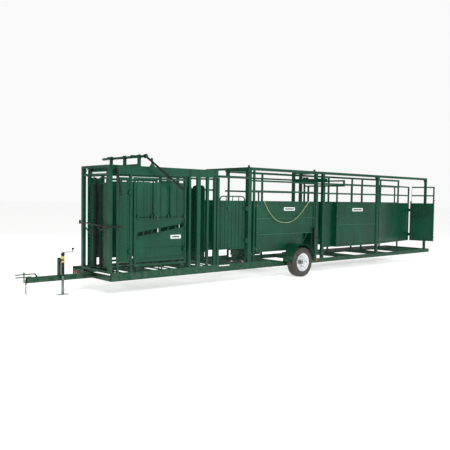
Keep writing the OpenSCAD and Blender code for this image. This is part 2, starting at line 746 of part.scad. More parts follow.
// A tail gate leaf: bent pipe with a sheet; it hangs on the inner pins and meets the other at the middle
leaf_r = 13;
module tail_leaf() {
    y0 = near_y + tail_hinge_in + knuckle_r + leaf_r + gap + 5;
    y1 = mid_y - gap - leaf_r;
    z0 = floor_top + 70;
    z1 = 2070;
    bend = 90;
    rod_z(z0, z1 - bend, tail_x, y0, leaf_r);
    rod_z(z0, z1 - bend, tail_x, y1, leaf_r);
    rod_y(y0 + bend, y1 - bend, tail_x, z1, leaf_r);
    rod_y(y0, y1, tail_x, z0 + leaf_r, leaf_r);
    for (e = [[y0 + bend, 180], [y1 - bend, 90]])
        translate([tail_x, e[0], z1 - bend]) rotate([0, 90, 0]) rotate([0, 0, e[1]])
            rotate_extrude(angle = 90) translate([bend, 0]) circle(r = leaf_r);
    translate([tail_x - sheet_t / 2, 0, 0]) rotate([90, 0, 90]) linear_extrude(height = sheet_t) {
        translate([y0, z0]) square([y1 - y0, z1 - bend - z0]);
        translate([y0 + bend, z1 - bend - over]) square([y1 - y0 - 2 * bend, bend]);
        for (y = [y0 + bend, y1 - bend])
            translate([y, z1 - bend]) circle(r = bend);
    }
    for (z = [700, 1700])
        difference() {
            union() {
                rod_z(z + 0.5, z + hinge_h - 0.5, tail_x, near_y + tail_hinge_in, knuckle_r);
                block(tail_x - 5, tail_x + 5, near_y + tail_hinge_in, y0, z + 0.5, z + hinge_h - 0.5);
            }
            rod_z(z, z + hinge_h, tail_x, near_y + tail_hinge_in, hinge_r + fit);
        }
}
module near_tail_gate() {
    color(green) place() {
        tail_leaf();
        rod_z(700, 1900, tail_x - 22, mid_y - 110, 9);
        for (z = [700, 1300, 1880])
            block(tail_x - 22, tail_x, mid_y - 114, mid_y - 106, z, z + 20);
    }
}
module far_tail_gate() color(green) place() mirror_y(mid_y) tail_leaf();

// ---------- palpation cage door ----------
cage_hx = 3366;                             // hinge axis of the cage door
module cage_door() {
    x0 = 2625;
    x1 = 3340;
    z0 = 730;
    z1 = 1757;
    top = 1860;
    bend = 80;
    y = near_y + 18;
    color(green) place() {
        // ribs of the folded sheet
        block(x0, x1, y + 10, y + 10 + sheet_t, z0, z1);
        for (i = [0 : 6])
            block(x0 + 30 + i * 104, x0 + 62 + i * 104, y + 2, y + 11, z0 + 6, z1 - 6);
        for (x = [x0, x1])
            rod_z(z0, top - bend, x, y + 12, leaf_r);
        rod_x(x0 + bend, x1 - bend, y + 12, top, leaf_r);
        for (e = [[x0 + bend, 90], [x1 - bend, 0]])
            translate([e[0], y + 12, top - bend]) rotate([90, 0, 0]) rotate([0, 0, e[1]])
                rotate_extrude(angle = 90) translate([bend, 0]) circle(r = leaf_r);
        for (x = [x0 + 180, x0 + 360, x0 + 540])
            rod_z(z1 - 5, top, x, y + 12, 9);
        for (z = [z0, z1])
            rod_x(x0, x1, y + 12, z, leaf_r);
        // slam handle
        block(x0 + 20, x0 + 230, y - 10, y + 3, 1640, 1662);
        block(x0 + 206, x0 + 230, y - 10, y + 3, 1560, 1642);
        for (z = [860, 1560])
            knuckle_at(cage_hx, z, y + 10, -1);
    }
}

// ---------- arches, walls and rails of the alley ----------
arch_x = 3430;
arch_b = 100;
module front_arch() {
    color(green) place() {
        tube_z(floor_top, top_rail_z, arch_x, near_y, arch_b, arch_b, 5);
        tube_y(near_y + arch_b - over, alley_y, arch_x, top_rail_z - 90, arch_b, 90, 5);
        tube_y(alley_y - over, -near_y, arch_x + 20, top_rail_z - 50, 60, 50);
        tube_z(floor_top, top_rail_z - 49, arch_x + 20, -near_y - 60, 60, 60);
        tube_z(upper_z + 92, top_rail_z - 89, arch_x + 25, alley_y - 50, 50, 50);
        rod_z(top_rail_z - 1, top_rail_z + 45, arch_x + 50, near_y + 50, 24);
        for (z = [860, 1560])
            hinge_pin_at(cage_hx, z, near_y + 10, 1);
        for (z = [840, 1540])
            block(cage_hx + 6, arch_x + over, near_y + 1, near_y + 11, z, z + 110);
        tube_x(2582, arch_x + over, near_y, upper_z + 15, 50, 50);
    }
}

// A sheeted wall in a tube frame, with raised seams; depth is the wall's outer face in Y
module wall(x0, x1, y, z0, z1, seams) {
    block(x0 + 10, x1 - 10, y + 18, y + 18 + sheet_t, z0 + 10, z1 - 10);
    for (x = [x0, x1 - guard])
        tube_z(z0, z1, x, y, guard, guard);
    for (z = [z0, z1 - guard])
        tube_x(x0 + 2, x1 - 2, y, z, guard, guard);
    for (z = seams)
        block(x0 + 30, x1 - 30, y + 10, y + 19, z, z + 16);
}

wall1_x0 = 3690;
wall1_x1 = 5690;
module near_alley_wall() {
    color(green) place() {
        difference() {
            wall(wall1_x0, wall1_x1, near_y + 2, sheet_bottom, sheet_top, [1365, 1000]);
            block(5280, 5600, near_y - 1, near_y + 60, sheet_bottom - 1, 1000);
        }
        translate([5275, near_y + 20, 760]) rotate([0, -52, 0]) cube([320, 12, 20]);
        block(5262, 5282, near_y + 8, near_y + 34, sheet_bottom, 1010);
        for (x = [3745, 3860])
            tube_z(sheet_top - over, middle_z - guard + over, x, near_y + 2, 25, 25);
        // end brackets that tie the wall to its posts, and the rope's eyes
        for (x = [wall1_x0 - 60, wall1_x1 - over])
            for (z = [sheet_bottom + 60, sheet_top - 130])
                block(x, x + (x < 4500 ? 61 : 30), near_y + 10, near_y + 16, z, z + 60);
        for (x = rope_ends) {
            rod_y(near_y - 9, near_y + 4, x, sheet_top - 12, 6);
            rod_y(near_y - 13, near_y - 9, x, sheet_top - 12, 12);
        }
        for (z = [middle_z, upper_z])
            tube_x(arch_x + arch_b + 0.5, 5719.5, near_y + 2, z - guard, guard, guard);
        tube_z(floor_top, top_rail_z - 64, 3600, near_y, 40, 40);
    }
}

module far_alley_wall() {
    color(green) place() {
        wall(arch_x + 120, 5700, alley_y - 40, sheet_bottom, sheet_top, [1365, 1000]);
        for (z = [middle_z, upper_z + 90])
            tube_x(arch_x + 2, slot_x0, alley_y - 40, z - guard, guard, guard);
        for (x = [arch_x + 76, 4600])
            tube_z(rail_top, top_rail_z - 107, x, alley_y - 39, guard, guard);
    }
}

slot_x0 = 5720;                             // the sliding gate runs between two pairs of posts
slot_x1 = 5990;
module slide_gate_arch() {
    color(green) place() {
        for (x = [slot_x0, slot_x1]) {
            tube_z(rail_top, top_rail_z - 64, x, near_y, 75, 70, 4);
            tube_z(rail_top, top_rail_z - 106, x, alley_y - 55, 60, 70, 4);
            tube_y(near_y + 64, alley_y + 20, x + 5, top_rail_z - 55, 55, 55);
        }
        rod_z(top_rail_z - over, top_rail_z + 45, slot_x0 + 32, near_y + 90, 24);
        slide_gate_track();
    }
}

track_x = 5835;
track_z0 = 2240;
track_z1 = 2335;
module slide_gate_track() {
    tube_y(near_y - 240, alley_y - 20, track_x - 20, track_z0, 40, track_z1 - track_z0, 4);
    block(slot_x0 + 74, track_x - 19, near_y + 20, near_y + 60, track_z0 + 20, track_z0 + 60);
    block(slot_x0 + 59, track_x - 19, alley_y - 52, alley_y - 24, track_z0 + 20, track_z0 + 60);
}

// Sliding gate: sheeted leaf, hangers, the long loop at its head and two rollers on the track
module slide_gate() {
    y0 = near_y + 66;
    y1 = alley_y - 62;
    b = 36;
    x = slide_x - b / 2;
    loop_y0 = near_y - loop_reach;
    loop_y1 = alley_y - 240;
    color(green) place() {
        block(slide_x - sheet_t / 2, slide_x + sheet_t / 2, y0 + 6, y1 - 6, rail_top + 90, sheet_top - 6);
        for (y = [y0, y1 - b])
            tube_z(rail_top + 80, sheet_top, x, y, b, b);
        for (z = [rail_top + 80, 1120, sheet_top - b])
            tube_y(y0 + 2, y1 - 2, x, z, b, b);
        for (y = [y0 + 20, mid_alley - 18, loop_y1 - b - 4])
            tube_z(sheet_top - over, 2136, x, y, b, b);
        for (z = [2135, 2135 + 155 - b])
            tube_y(loop_y0 + b - over, loop_y1 - b + over, x, z, b, b);
        for (y = [loop_y0, loop_y1 - b])
            tube_z(2135, 2290, x, y, b, b);
        for (y = [loop_y1 - 140, loop_y1 - 40]) {
            block(slide_x - 12, slide_x - 4, y - 20, y + 20, 2280, track_z1 + 36);
            rod_x(track_x - 18, slide_x - 10, y, track_z1 + 20.5, 20);
        }
    }
}
mid_alley = (near_y + alley_y) / 2;

wall2_x0 = 6562;
arch3_x = 8340;
module near_chute_wall() {
    color(green) place() {
        wall(wall2_x0, arch3_x - 0.5, near_y + 2, sheet_bottom, sheet_top - 15, [1165]);
        wall(6085, wall2_x0 + over, near_y + 96, sheet_bottom, sheet_top - 30, [900, 1150, 1400]);
        block(wall2_x0, wall2_x0 + 30, near_y + 30, near_y + 130, sheet_bottom, sheet_top - 30);
        tube_z(sheet_bottom, upper_z, 6120, near_y + 60, guard, guard);
        for (z = [middle_z - 10, upper_z])
            tube_x(slot_x1 + 75.5, arch3_x - 0.5, near_y + 2, z - guard, guard, guard);
        for (x = [wall2_x0, 7170, 7620])
            tube_z(sheet_top - 16, upper_z - guard + over, x, near_y + 2, 34, 34);
    }
}

module far_chute_wall() {
    color(green) place() {
        wall(slot_x1 + 62, 10600, alley_y - 40, sheet_bottom, sheet_top, [1165]);
        for (z = [middle_z, upper_z + 20])
            tube_x(slot_x1 + 60.5, 10600, alley_y - 40, z - guard, guard, guard);
        for (x = [7150, 8200, 8680, 9600])
            tube_z(rail_top, top_rail_z - 107, x, alley_y - 39, guard, guard);
        tube_z(rail_top, top_rail_z - 107, 10562, alley_y - 39, guard, guard);
    }
}

arch4_x = 10870;
gate_hx = 8438;                             // hinge axis of the side gate
gate_hy = near_y + 34;
module rear_posts() {
    color(green) place() {
        for (p = [[arch3_x, 70], [arch4_x, 62]]) {
            tube_z(rail_top, top_rail_z - 64, p[0], near_y, p[1], p[1], 4);
            for (s = [-1, 1])
                if (s < 0 || p[0] == arch3_x)
                    translate([p[0] + p[1] / 2, near_y + 40, top_rail_z - 64]) rotate([90, 0, 0])
                        linear_extrude(height = 8)
                            polygon([[s * (p[1] / 2 - over), 0], [s * (p[1] / 2 + 90), 0],
                                     [s * (p[1] / 2 - over), -120]]);
        }
        for (z = [700, 1560])
            post_hinge(z);
    }
}
// Pin and lugs behind the third post for the side gate
module post_hinge(z) {
    rod_z(z - lug_t, z + hinge_h + lug_t, gate_hx, gate_hy, hinge_r);
    for (lug_z = [z - lug_t, z + hinge_h])
        difference() {
            block(arch3_x + 68, gate_hx + 14, gate_hy - 14, gate_hy + 14, lug_z, lug_z + lug_t);
            rod_z(lug_z - 1, lug_z + lug_t + 1, gate_hx, gate_hy, hinge_r - 1);
        }
}

module upper_rails() {
    color(green) place() {
        tube_x(arch_x + arch_b + 0.5, arch4_x + 62, near_y, top_rail_z - 63, 63, 63, 3);
        tube_x(arch_x + arch_b + 0.5, 10600, alley_y - 45, top_rail_z - 105, 49, 49);
    }
}

module catwalk() {
    color(dark_green) place() {
        block(6100, 10250, alley_y + 10, -near_y - 60, rail_top + 30, rail_top + 34);
        for (y = [alley_y + 10, -near_y - 66])
            block(6100, 10250, y, y + 6, rail_top, rail_top + 31);
        for (x = [6100 : 690 : 10250])
            block(x, x + 6, alley_y + 12, -near_y - 62, rail_top, rail_top + 31);
    }
}

latch_x = 5640;
module spring_latch() {
    color(charcoal) place() {
        rod_z(575, 1115, latch_x, near_y - 34, 25);
        rod_z(1110, 1150, latch_x, near_y - 34, 9);
        rod_x(latch_x, latch_x + 150, near_y - 34, 880, 9);
        for (z = [620, 1040])
            block(latch_x - 14, latch_x + 14, near_y - 30, near_y + 1.5, z, z + 24);
    }
}

// ---------- rear gates ----------
gate_angle = 10.2;                          // the side gate stands this far inwards
wing_angle = -73.3;                         // direction of the wing gate
module panel(length, x0 = 24) {
    b = guard;
    block(x0 + 8, length - 8, -sheet_t / 2, sheet_t / 2, sheet_bottom + 8, sheet_top - 28);
    for (x = [x0, length - b])
        tube_z(sheet_bottom, upper_z + 15, x, -b / 2, b, b);
    for (z = [sheet_bottom, sheet_top - 15 - b, middle_z - b - 8, upper_z + 15 - b])
        tube_x(x0 + 2, length - 2, -b / 2, z, b, b);
}
module side_gate() {
    color(green) place() translate([gate_hx, gate_hy, 0]) rotate([0, 0, gate_angle]) {
        panel(side_gate_l);
        tube_z(sheet_top - 16, upper_z - 20, side_gate_l / 2, -15, 30, 30);
        for (z = [700, 1560])
            inline_knuckle(z);
        for (z = [760, 1500])
            end_hinge(side_gate_l, z);
    }
}
module inline_knuckle(z) {
    difference() {
        union() {
            rod_z(z + 0.5, z + hinge_h - 0.5, 0, 0, knuckle_r);
            block(0, 26, -5, 5, z + 0.5, z + hinge_h - 0.5);
        }
        rod_z(z, z + hinge_h, 0, 0, hinge_r + fit);
    }
}
// Pin and lugs on the outer side of the side gate's free end
wing_out = 34;
module end_hinge(length, z) {
    rod_z(z - lug_t, z + hinge_h + lug_t, length, -wing_out, hinge_r);
    for (lug_z = [z - lug_t, z + hinge_h])
        difference() {
            block(length - 17, length + 14, -wing_out - 14, -guard / 2 + over, lug_z, lug_z + lug_t);
            rod_z(lug_z - 1, lug_z + lug_t + 1, length, -wing_out, hinge_r - 1);
        }
}
wing_hx = gate_hx + side_gate_l * cos(gate_angle) + wing_out * sin(gate_angle);
wing_hy = gate_hy + side_gate_l * sin(gate_angle) - wing_out * cos(gate_angle);
panel_pin_r = 10;                           // holes for the pins of loading panels
module wing_gate() {
    color(green) place() translate([wing_hx, wing_hy, 0]) rotate([0, 0, wing_angle]) {
        difference() {
            panel(wing_gate_l);
            block(-1, 60, -60, 60, sheet_bottom + 1200, upper_z + 60);
        }
        for (z = [760, 1500])
            inline_knuckle(z);
        // latch housing on the front face
        for (z = [1340, 1660])
            tube_x(120, 560, -50, z, 25, 25, 2);
        for (x = [120, 340, 535])
            tube_z(1341, 1684, x, -50, 25, 25, 2);
        for (x = [122, 537])
            for (z = [1400, 1600])
                block(x, x + 20, -30, 0, z, z + 20);
        translate([130, -38, 1375]) rotate([0, -36, 0]) rod_x(0, 400, 0, 0, 8);
        for (z = [720, 1830])
            difference() {
                block(wing_gate_l - over, wing_gate_l + 34, -16, 16, z, z + 12);
                rod_z(z - 1, z + 13, wing_gate_l + 17, 0, panel_pin_r);
            }
    }
}

// ---------- wheels ----------
// Round parts are turned about Y in the wheel's own frame, outer side at -Y
module on_axle(s) scale_side(s) translate([axle_x, wheel_y, tyre_r]) rotate([-90, 0, 0]) children();
module tyre() {
    hw = tyre_w / 2;
    bead = rim_d / 2 - 24;
    rotate_extrude($fn = 96) difference() {
        polygon([[bead, -hw + 18], [rim_d / 2 + 6, -hw + 4], [rim_d / 2 + 60, -hw],
                 [tyre_r - 34, -hw + 10], [tyre_r - 8, -hw + 26], [tyre_r, -hw + 48],
                 [tyre_r, hw - 48], [tyre_r - 8, hw - 26], [tyre_r - 34, hw - 10],
                 [rim_d / 2 + 60, hw], [rim_d / 2 + 6, hw - 4], [bead, hw - 18]]);
        polygon([[bead - 1, -hw + 30], [rim_d / 2 + 10, -hw + 16], [tyre_r - 36, -hw + 26],
                 [tyre_r - 16, -hw + 56], [tyre_r - 16, hw - 56], [tyre_r - 36, hw - 26],
                 [rim_d / 2 + 10, hw - 16], [bead - 1, hw - 30]]);
    }
}
vent_n = 8;
lug_n = 5;
lug_pcd = 114.3;
hub_r = 41;
module rim() {
    hw = tyre_w / 2;
    bead = rim_d / 2 - 24;
    difference() {
        rotate_extrude($fn = 96)
            polygon([[rim_d / 2, -hw + 2], [rim_d / 2, -hw + 0], [bead - 4, -hw + 14], [bead - 4, -hw + 50],
                     [bead - 34, -hw + 66], [bead - 34, -4], [hub_r + 46, -18], [hub_r + 1, -18],
                     [hub_r + 1, -12], [hub_r + 44, -12], [bead - 40, 4], [bead - 30, 6], [bead - 28, hw - 60],
                     [bead - 4, hw - 44], [bead - 4, hw - 14], [rim_d / 2, hw - 0], [rim_d / 2, hw - 2],
                     [bead - 0.5, hw - 18], [bead - 0.5, hw - 44], [bead - 26, hw - 58], [bead - 30, -hw + 68],
                     [bead - 0.5, -hw + 50], [bead - 0.5, -hw + 18]]);
        for (i = [0 : vent_n - 1])
            rotate([0, 0, i * 360 / vent_n + 22.5]) translate([hub_r + 78, 0, -40]) cylinder(r = 17, h = 80);
        for (i = [0 : lug_n - 1])
            rotate([0, 0, i * 360 / lug_n]) translate([lug_pcd / 2, 0, -40]) cylinder(r = 7.5, h = 60);
    }
}
module hub() {
    difference() {
        union() {
            translate([0, 0, -wheel_y - near_y + 64]) cylinder(r = hub_r, h = wheel_y + near_y - 64 + 46);
            translate([0, 0, -30]) cylinder(r = hub_r + 34, h = 11.5);
            for (i = [0 : lug_n - 1])
                rotate([0, 0, i * 360 / lug_n]) translate([lug_pcd / 2, 0, -20]) {
                    cylinder(r = 6.5, h = 30);
                    translate([0, 0, 8.5]) cylinder(r = 10, h = 16, $fn = 6);
                }
        }
        translate([0, 0, -wheel_y - near_y]) cylinder(r = spindle_d / 2 + fit, h = wheel_y + near_y + 24);
    }
}
module near_tyre() color(tyre_grey) place() on_axle(-1) tyre();
module far_tyre() color(tyre_grey) place() on_axle(1) tyre();
module near_rim() color(white_paint) place() on_axle(-1) rim();
module far_rim() color(white_paint) place() on_axle(1) rim();
module near_hub() color(zinc) place() on_axle(-1) hub();
module far_hub() color(zinc) place() on_axle(1) hub();

// ---------- hitch pin, chain and jack ----------
strap_top = rail_top + strap_gap + 2 * strap_t;
module hitch_pin() {
    color(zinc) place() {
        rod_z(rail_z + 5, strap_top + 30, pin_x, 0, pin_d / 2);
        rod_z(strap_top + 0.5, strap_top + 9, pin_x, 0, pin_d / 2 + 8);
        rod_y(-38, 38, pin_x, strap_top + 24, 7);
    }
}

// Chain of separate links; every second one is turned by a quarter
link_r = 4;
link_in = 12;
link_run = 14;
chain_n = 5;
module chain_link() {
    for (side = [-1, 1]) {
        translate([side * link_in, 0, -link_run / 2]) cylinder(r = link_r, h = link_run);
        translate([0, 0, side * link_run / 2]) rotate([side > 0 ? 90 : -90, 0, 0])
            rotate_extrude(angle = 180) translate([link_in, 0]) circle(r = link_r);
    }
}
module safety_chain() {
    half = link_run / 2 + link_in;
    pitch = 2 * half - 2 * link_r - 0.5;
    top = eye_z - eye_r + link_r + 1.5;
    color(zinc) place() translate([eye_x, 0, top - half])
        for (i = [0 : chain_n])
            translate([0, 0, -i * pitch]) rotate([0, 0, i % 2 == 0 ? 90 : 0]) chain_link();
}

jack_bore = jack_leg_d / 2 + fit;
module jack_body() {
    color(charcoal) place() {
        difference() {
            union() {
                rod_z(rail_top - 10, jack_top - 30, jack_x, jack_y, jack_leg_d / 2 + 5);
                rod_z(jack_top - 40, jack_top, jack_x, jack_y, jack_leg_d / 2 + 9);
                rod_y(-80, -46.5, jack_x - 30, swivel_z, 34);
                rod_y(-60, -26, jack_x - 30, swivel_z, 16 - fit);
            }
            rod_z(rail_top - 11, jack_top - 12, jack_x, jack_y, jack_bore);
            rod_z(jack_top - 20, jack_top + 1, jack_x, jack_y, 10 + fit);
        }
    }
}
leg_top = jack_top - 290;
module jack_leg() {
    color(zinc) place() {
        difference() {
            union() {
                rod_z(0, leg_top, jack_x, jack_y, jack_leg_d / 2);
                block(jack_x - 115, jack_x + 115, jack_y - 48, jack_y + 48, 0, 6);
            }
            rod_z(6, leg_top - 20, jack_x, jack_y, jack_leg_d / 2 - 4);
            rod_z(leg_top - 30, leg_top + 1, jack_x, jack_y, 9 + fit);
        }
    }
}
module jack_crank() {
    color(zinc) place() {
        rod_z(270, jack_top - 21, jack_x, jack_y, 9);
        rod_z(jack_top - 12 - 20, jack_top + 18, jack_x, jack_y, 9.9);
        rod_z(jack_top + 0.5, jack_top + 22, jack_x, jack_y, 15);
        rod_x(jack_x, jack_x + crank_r, jack_y, jack_top + 11, 8);
        rod_z(jack_top + 3, jack_top + 60, jack_x + crank_r, jack_y, 8);
        translate([jack_x + crank_r, jack_y, jack_top + 48]) cylinder(r1 = 12, r2 = 22, h = 40);
    }
}

// ---------- rope ----------
rope_ends = [3920, 5430];
rope_y = near_y - 11 - rope_d / 2;
rope_pts = [
    [3920, rope_y, 1735], [3985, rope_y, 1640], [4060, rope_y, 1540], [4150, rope_y, 1445],
    [4250, rope_y, 1365], [4360, rope_y, 1310], [4480, rope_y, 1278], [4600, rope_y, 1268],
    [4720, rope_y, 1272], [4840, rope_y, 1295], [4950, rope_y, 1340], [5050, rope_y, 1400],
    [5150, rope_y, 1475], [5240, rope_y, 1555], [5330, rope_y, 1645], [5430, rope_y, 1740]
];
rope_sides = 8;
rope_steps = 4;
// Smooth curve through the route's points
function blend(a, b, c, d, t) = 0.5 * ((2 * b) + (c - a) * t + (2 * a - 5 * b + 4 * c - d) * t * t
    + (3 * b - a - 3 * c + d) * t * t * t);
function at(p, i) = p[max(0, min(len(p) - 1, i))];
rope_path = [for (i = [0 : len(rope_pts) - 2]) for (k = [0 : rope_steps - 1])
    blend(at(rope_pts, i - 1), rope_pts[i], rope_pts[i + 1], at(rope_pts, i + 2), k / rope_steps),
    rope_pts[len(rope_pts) - 1]];
function rope_dir(i) = let (d = at(rope_path, i + 1) - at(rope_path, i - 1)) d / norm(d);
function rope_ring(i) = let (d = rope_dir(i), n = [-d[2], 0, d[0]])
    [for (k = [0 : rope_sides - 1])
        rope_path[i] + rope_d / 2 * (n * cos(k * 360 / rope_sides) + [0, 1, 0] * sin(k * 360 / rope_sides))];
module rope() {
    count = len(rope_path);
    points = [for (i = [0 : count - 1]) each rope_ring(i)];
    sides = [for (i = [0 : count - 2]) for (k = [0 : rope_sides - 1])
        let (a = i * rope_sides + k, b = i * rope_sides + (k + 1) % rope_sides)
        [a, b, b + rope_sides, a + rope_sides]];
    first = [for (k = [rope_sides - 1 : -1 : 0]) k];
    last = [for (k = [0 : rope_sides - 1]) (count - 1) * rope_sides + k];
    color(rope_green) place() polyhedron(points = points, faces = concat([first], sides, [last]), convexity = 4);
}

near_rail();
far_rail();
floor_frame();
floor_slats();
tongue();
hitch_straps();
axle_stubs();
near_fender();
far_fender();
marker_lights();
headgate_frame();
headgate_top_box();
near_posts();
far_posts();
top_beams();
shaft_uprights();
front_arch();
near_alley_wall();
far_alley_wall();
slide_gate_arch();
near_chute_wall();
far_chute_wall();
rear_posts();
upper_rails();
catwalk();
spring_latch();
near_tyre();
near_rim();
near_hub();
far_tyre();
far_rim();
far_hub();
hitch_pin();
safety_chain();
jack_body();
jack_leg();
jack_crank();
near_head_door();
far_head_door();
near_neck_pad();
far_neck_pad();
headgate_lever();
release_handle();
nose_bar();
neck_door();
control_shaft();
squeeze_lever();
near_squeeze_side();
side_door();
drop_panel_front();
drop_panel_middle();
drop_panel_rear();
far_squeeze_side();
near_tail_gate();
far_tail_gate();
cage_door();
slide_gate();
side_gate();
wing_gate();
rope();
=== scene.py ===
import json
import math
import bmesh
import bpy
from mathutils import Matrix, Vector


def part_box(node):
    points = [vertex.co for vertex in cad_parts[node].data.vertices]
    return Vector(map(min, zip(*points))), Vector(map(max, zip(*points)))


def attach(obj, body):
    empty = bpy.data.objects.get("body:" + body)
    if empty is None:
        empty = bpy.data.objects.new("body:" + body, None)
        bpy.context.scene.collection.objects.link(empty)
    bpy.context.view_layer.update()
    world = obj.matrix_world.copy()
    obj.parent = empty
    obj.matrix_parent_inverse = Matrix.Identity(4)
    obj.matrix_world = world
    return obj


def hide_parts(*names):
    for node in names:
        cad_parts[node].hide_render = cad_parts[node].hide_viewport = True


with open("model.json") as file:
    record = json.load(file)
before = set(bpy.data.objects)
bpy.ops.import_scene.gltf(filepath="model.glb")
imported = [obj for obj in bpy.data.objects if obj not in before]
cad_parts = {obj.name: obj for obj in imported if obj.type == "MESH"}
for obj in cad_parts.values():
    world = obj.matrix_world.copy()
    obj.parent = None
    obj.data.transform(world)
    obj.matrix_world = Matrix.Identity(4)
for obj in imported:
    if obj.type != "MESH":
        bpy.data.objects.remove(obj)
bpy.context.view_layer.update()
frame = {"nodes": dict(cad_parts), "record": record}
nodes = frame["nodes"]

# The row's origin lies under the middle of the object; these bring the maker's
# shop measurements (from the frame's front end and its centre line) to it.
MID_X, MID_Y = 4.835, -0.206
NEAR, FAR = -0.760, 0.320       # outer faces of the cage's two sides
GATE_FACE = -0.045              # front face of the head gate


def at(x, y, z):
    return Vector((x - MID_X, y - MID_Y, z))


# ------------------------------------------------------------------ camera
def make_camera():
    yaw, pitch, roll = math.radians(41.349), math.radians(2.5693), math.radians(0.76855)
    look = Vector((math.sin(yaw) * math.cos(pitch), math.cos(yaw) * math.cos(pitch), -math.sin(pitch)))
    right = Vector((math.cos(yaw), -math.sin(yaw), 0))
    up = right.cross(look)
    side = right * math.cos(roll) + up * math.sin(roll)
    top = up * math.cos(roll) - right * math.sin(roll)
    data = bpy.data.cameras.new("camera")
    data.lens, data.sensor_width, data.clip_end = 46.813, 36.0, 200
    camera = bpy.data.objects.new("camera", data)
    turn = Matrix((side, top, -look)).transposed().to_4x4()
    camera.matrix_world = Matrix.Translation(at(-5.48877, -10.12344, 1.80666)) @ turn
    bpy.context.collection.objects.link(camera)
    bpy.context.scene.camera = camera


make_camera()


# --------------------------------------------------------------- materials
def paint(code):
    """A colour written as sRGB hex, as linear values."""
    parts = [int(code[i:i + 2], 16) / 255 for i in (1, 3, 5)]
    return tuple(c / 12.92 if c <= 0.04045 else ((c + 0.055) / 1.055) ** 2.4 for c in parts) + (1.0,)


def put(tree, kind, links=None, **settings):
    """Adds one node with its settings; links gives a source socket or a plain value for each input."""
    node = tree.nodes.new(kind)
    for name, value in settings.items():
        setattr(node, name, value)
    for name, source in (links or {}).items():
        if isinstance(source, bpy.types.NodeSocket):
            tree.links.new(source, node.inputs[name])
        else:
            node.inputs[name].default_value = source
    return node


def new_finish(name):
    material = bpy.data.materials.new(name)
    material.use_nodes = True
    tree = material.node_tree
    tree.nodes.clear()
    skin = put(tree, "ShaderNodeBsdfPrincipled")
    put(tree, "ShaderNodeOutputMaterial", {"Surface": skin.outputs[0]})
    place = put(tree, "ShaderNodeTexCoord").outputs["Object"]
    return material, tree, skin, place


def grain(tree, place, scale, detail=3.0, rough=0.55, stretch=(1, 1, 1)):
    stretched = put(tree, "ShaderNodeMapping", {"Vector": place, "Scale": stretch}).outputs[0]
    return put(tree, "ShaderNodeTexNoise", {"Vector": stretched, "Scale": scale, "Detail": detail,
                                            "Roughness": rough}).outputs["Fac"]


def between(tree, value, low, high, to_low=0.0, to_high=1.0):
    return put(tree, "ShaderNodeMapRange", {"Value": value, "From Min": low, "From Max": high,
                                            "To Min": to_low, "To Max": to_high}).outputs[0]


def times(tree, a, b, how="MULTIPLY"):
    return put(tree, "ShaderNodeMath", {0: a, 1: b}, operation=how).outputs[0]


def mixed(tree, amount, first, second):
    node = put(tree, "ShaderNodeMix", {0: amount}, data_type="RGBA")
    for socket, value in ((node.inputs[6], first), (node.inputs[7], second)):
        if isinstance(value, bpy.types.NodeSocket):
            tree.links.new(value, socket)
        else:
            socket.default_value = value
    return node.outputs[2]


def bumped(tree, skin, height, depth, strength=0.6):
    bump = put(tree, "ShaderNodeBump", {"Height": height, "Distance": depth, "Strength": strength})
    tree.links.new(bump.outputs[0], skin.inputs["Normal"])


def sprayed_enamel(name, body, light, dark, chip, coat):
    """Alkyd enamel sprayed on welded steel: glossy, slightly uneven, dusty low down, with small
    chips and rubbed streaks where cattle and chains have touched it."""
    material, tree, skin, place = new_finish(name)
    cloudy = between(tree, grain(tree, place, 1.7, 4), 0.35, 0.65)           # passes of the gun, about 0.6 m
    tone = mixed(tree, cloudy, paint(body), paint(light))
    streak = between(tree, grain(tree, place, 9, 4, 0.6, (1, 1, 0.12)), 0.56, 0.74)   # run-off, 10 cm apart
    tone = mixed(tree, times(tree, streak, 0.55), tone, paint(dark))
    height = put(tree, "ShaderNodeSeparateXYZ", {"Vector": place}).outputs["Z"]
    low = between(tree, height, 0.75, 0.2)
    dust = times(tree, low, between(tree, grain(tree, place, 14, 5), 0.42, 0.7))
    tone = mixed(tree, times(tree, dust, 0.5), tone, paint("#6E7263"))
    chips = between(tree, grain(tree, place, 46, 5, 0.7), 0.70, 0.735)       # chips about 10 to 20 mm across
    tone = mixed(tree, chips, tone, paint(chip))
    tree.links.new(tone, skin.inputs["Base Color"])
    rough = times(tree, between(tree, grain(tree, place, 5, 4), 0.3, 0.7, 0.24, 0.44), dust, "ADD")
    tree.links.new(times(tree, rough, times(tree, chips, 0.3), "ADD"), skin.inputs["Roughness"])
    peel = grain(tree, place, 130, 2)            # orange peel, drawn 8 mm wide to show
    waves = grain(tree, place, 5, 1)             # oil-canning of thin sheet
    bumped(tree, skin, times(tree, times(tree, peel, 0.12), waves, "ADD"), 0.006, 0.5)
    skin.inputs["Coat Weight"].default_value = coat
    skin.inputs["Coat Roughness"].default_value = 0.12
    skin.inputs["Specular IOR Level"].default_value = 0.22        # chalked by weather, so its gloss is weak
    skin.inputs["IOR"].default_value = 1.5
    return material


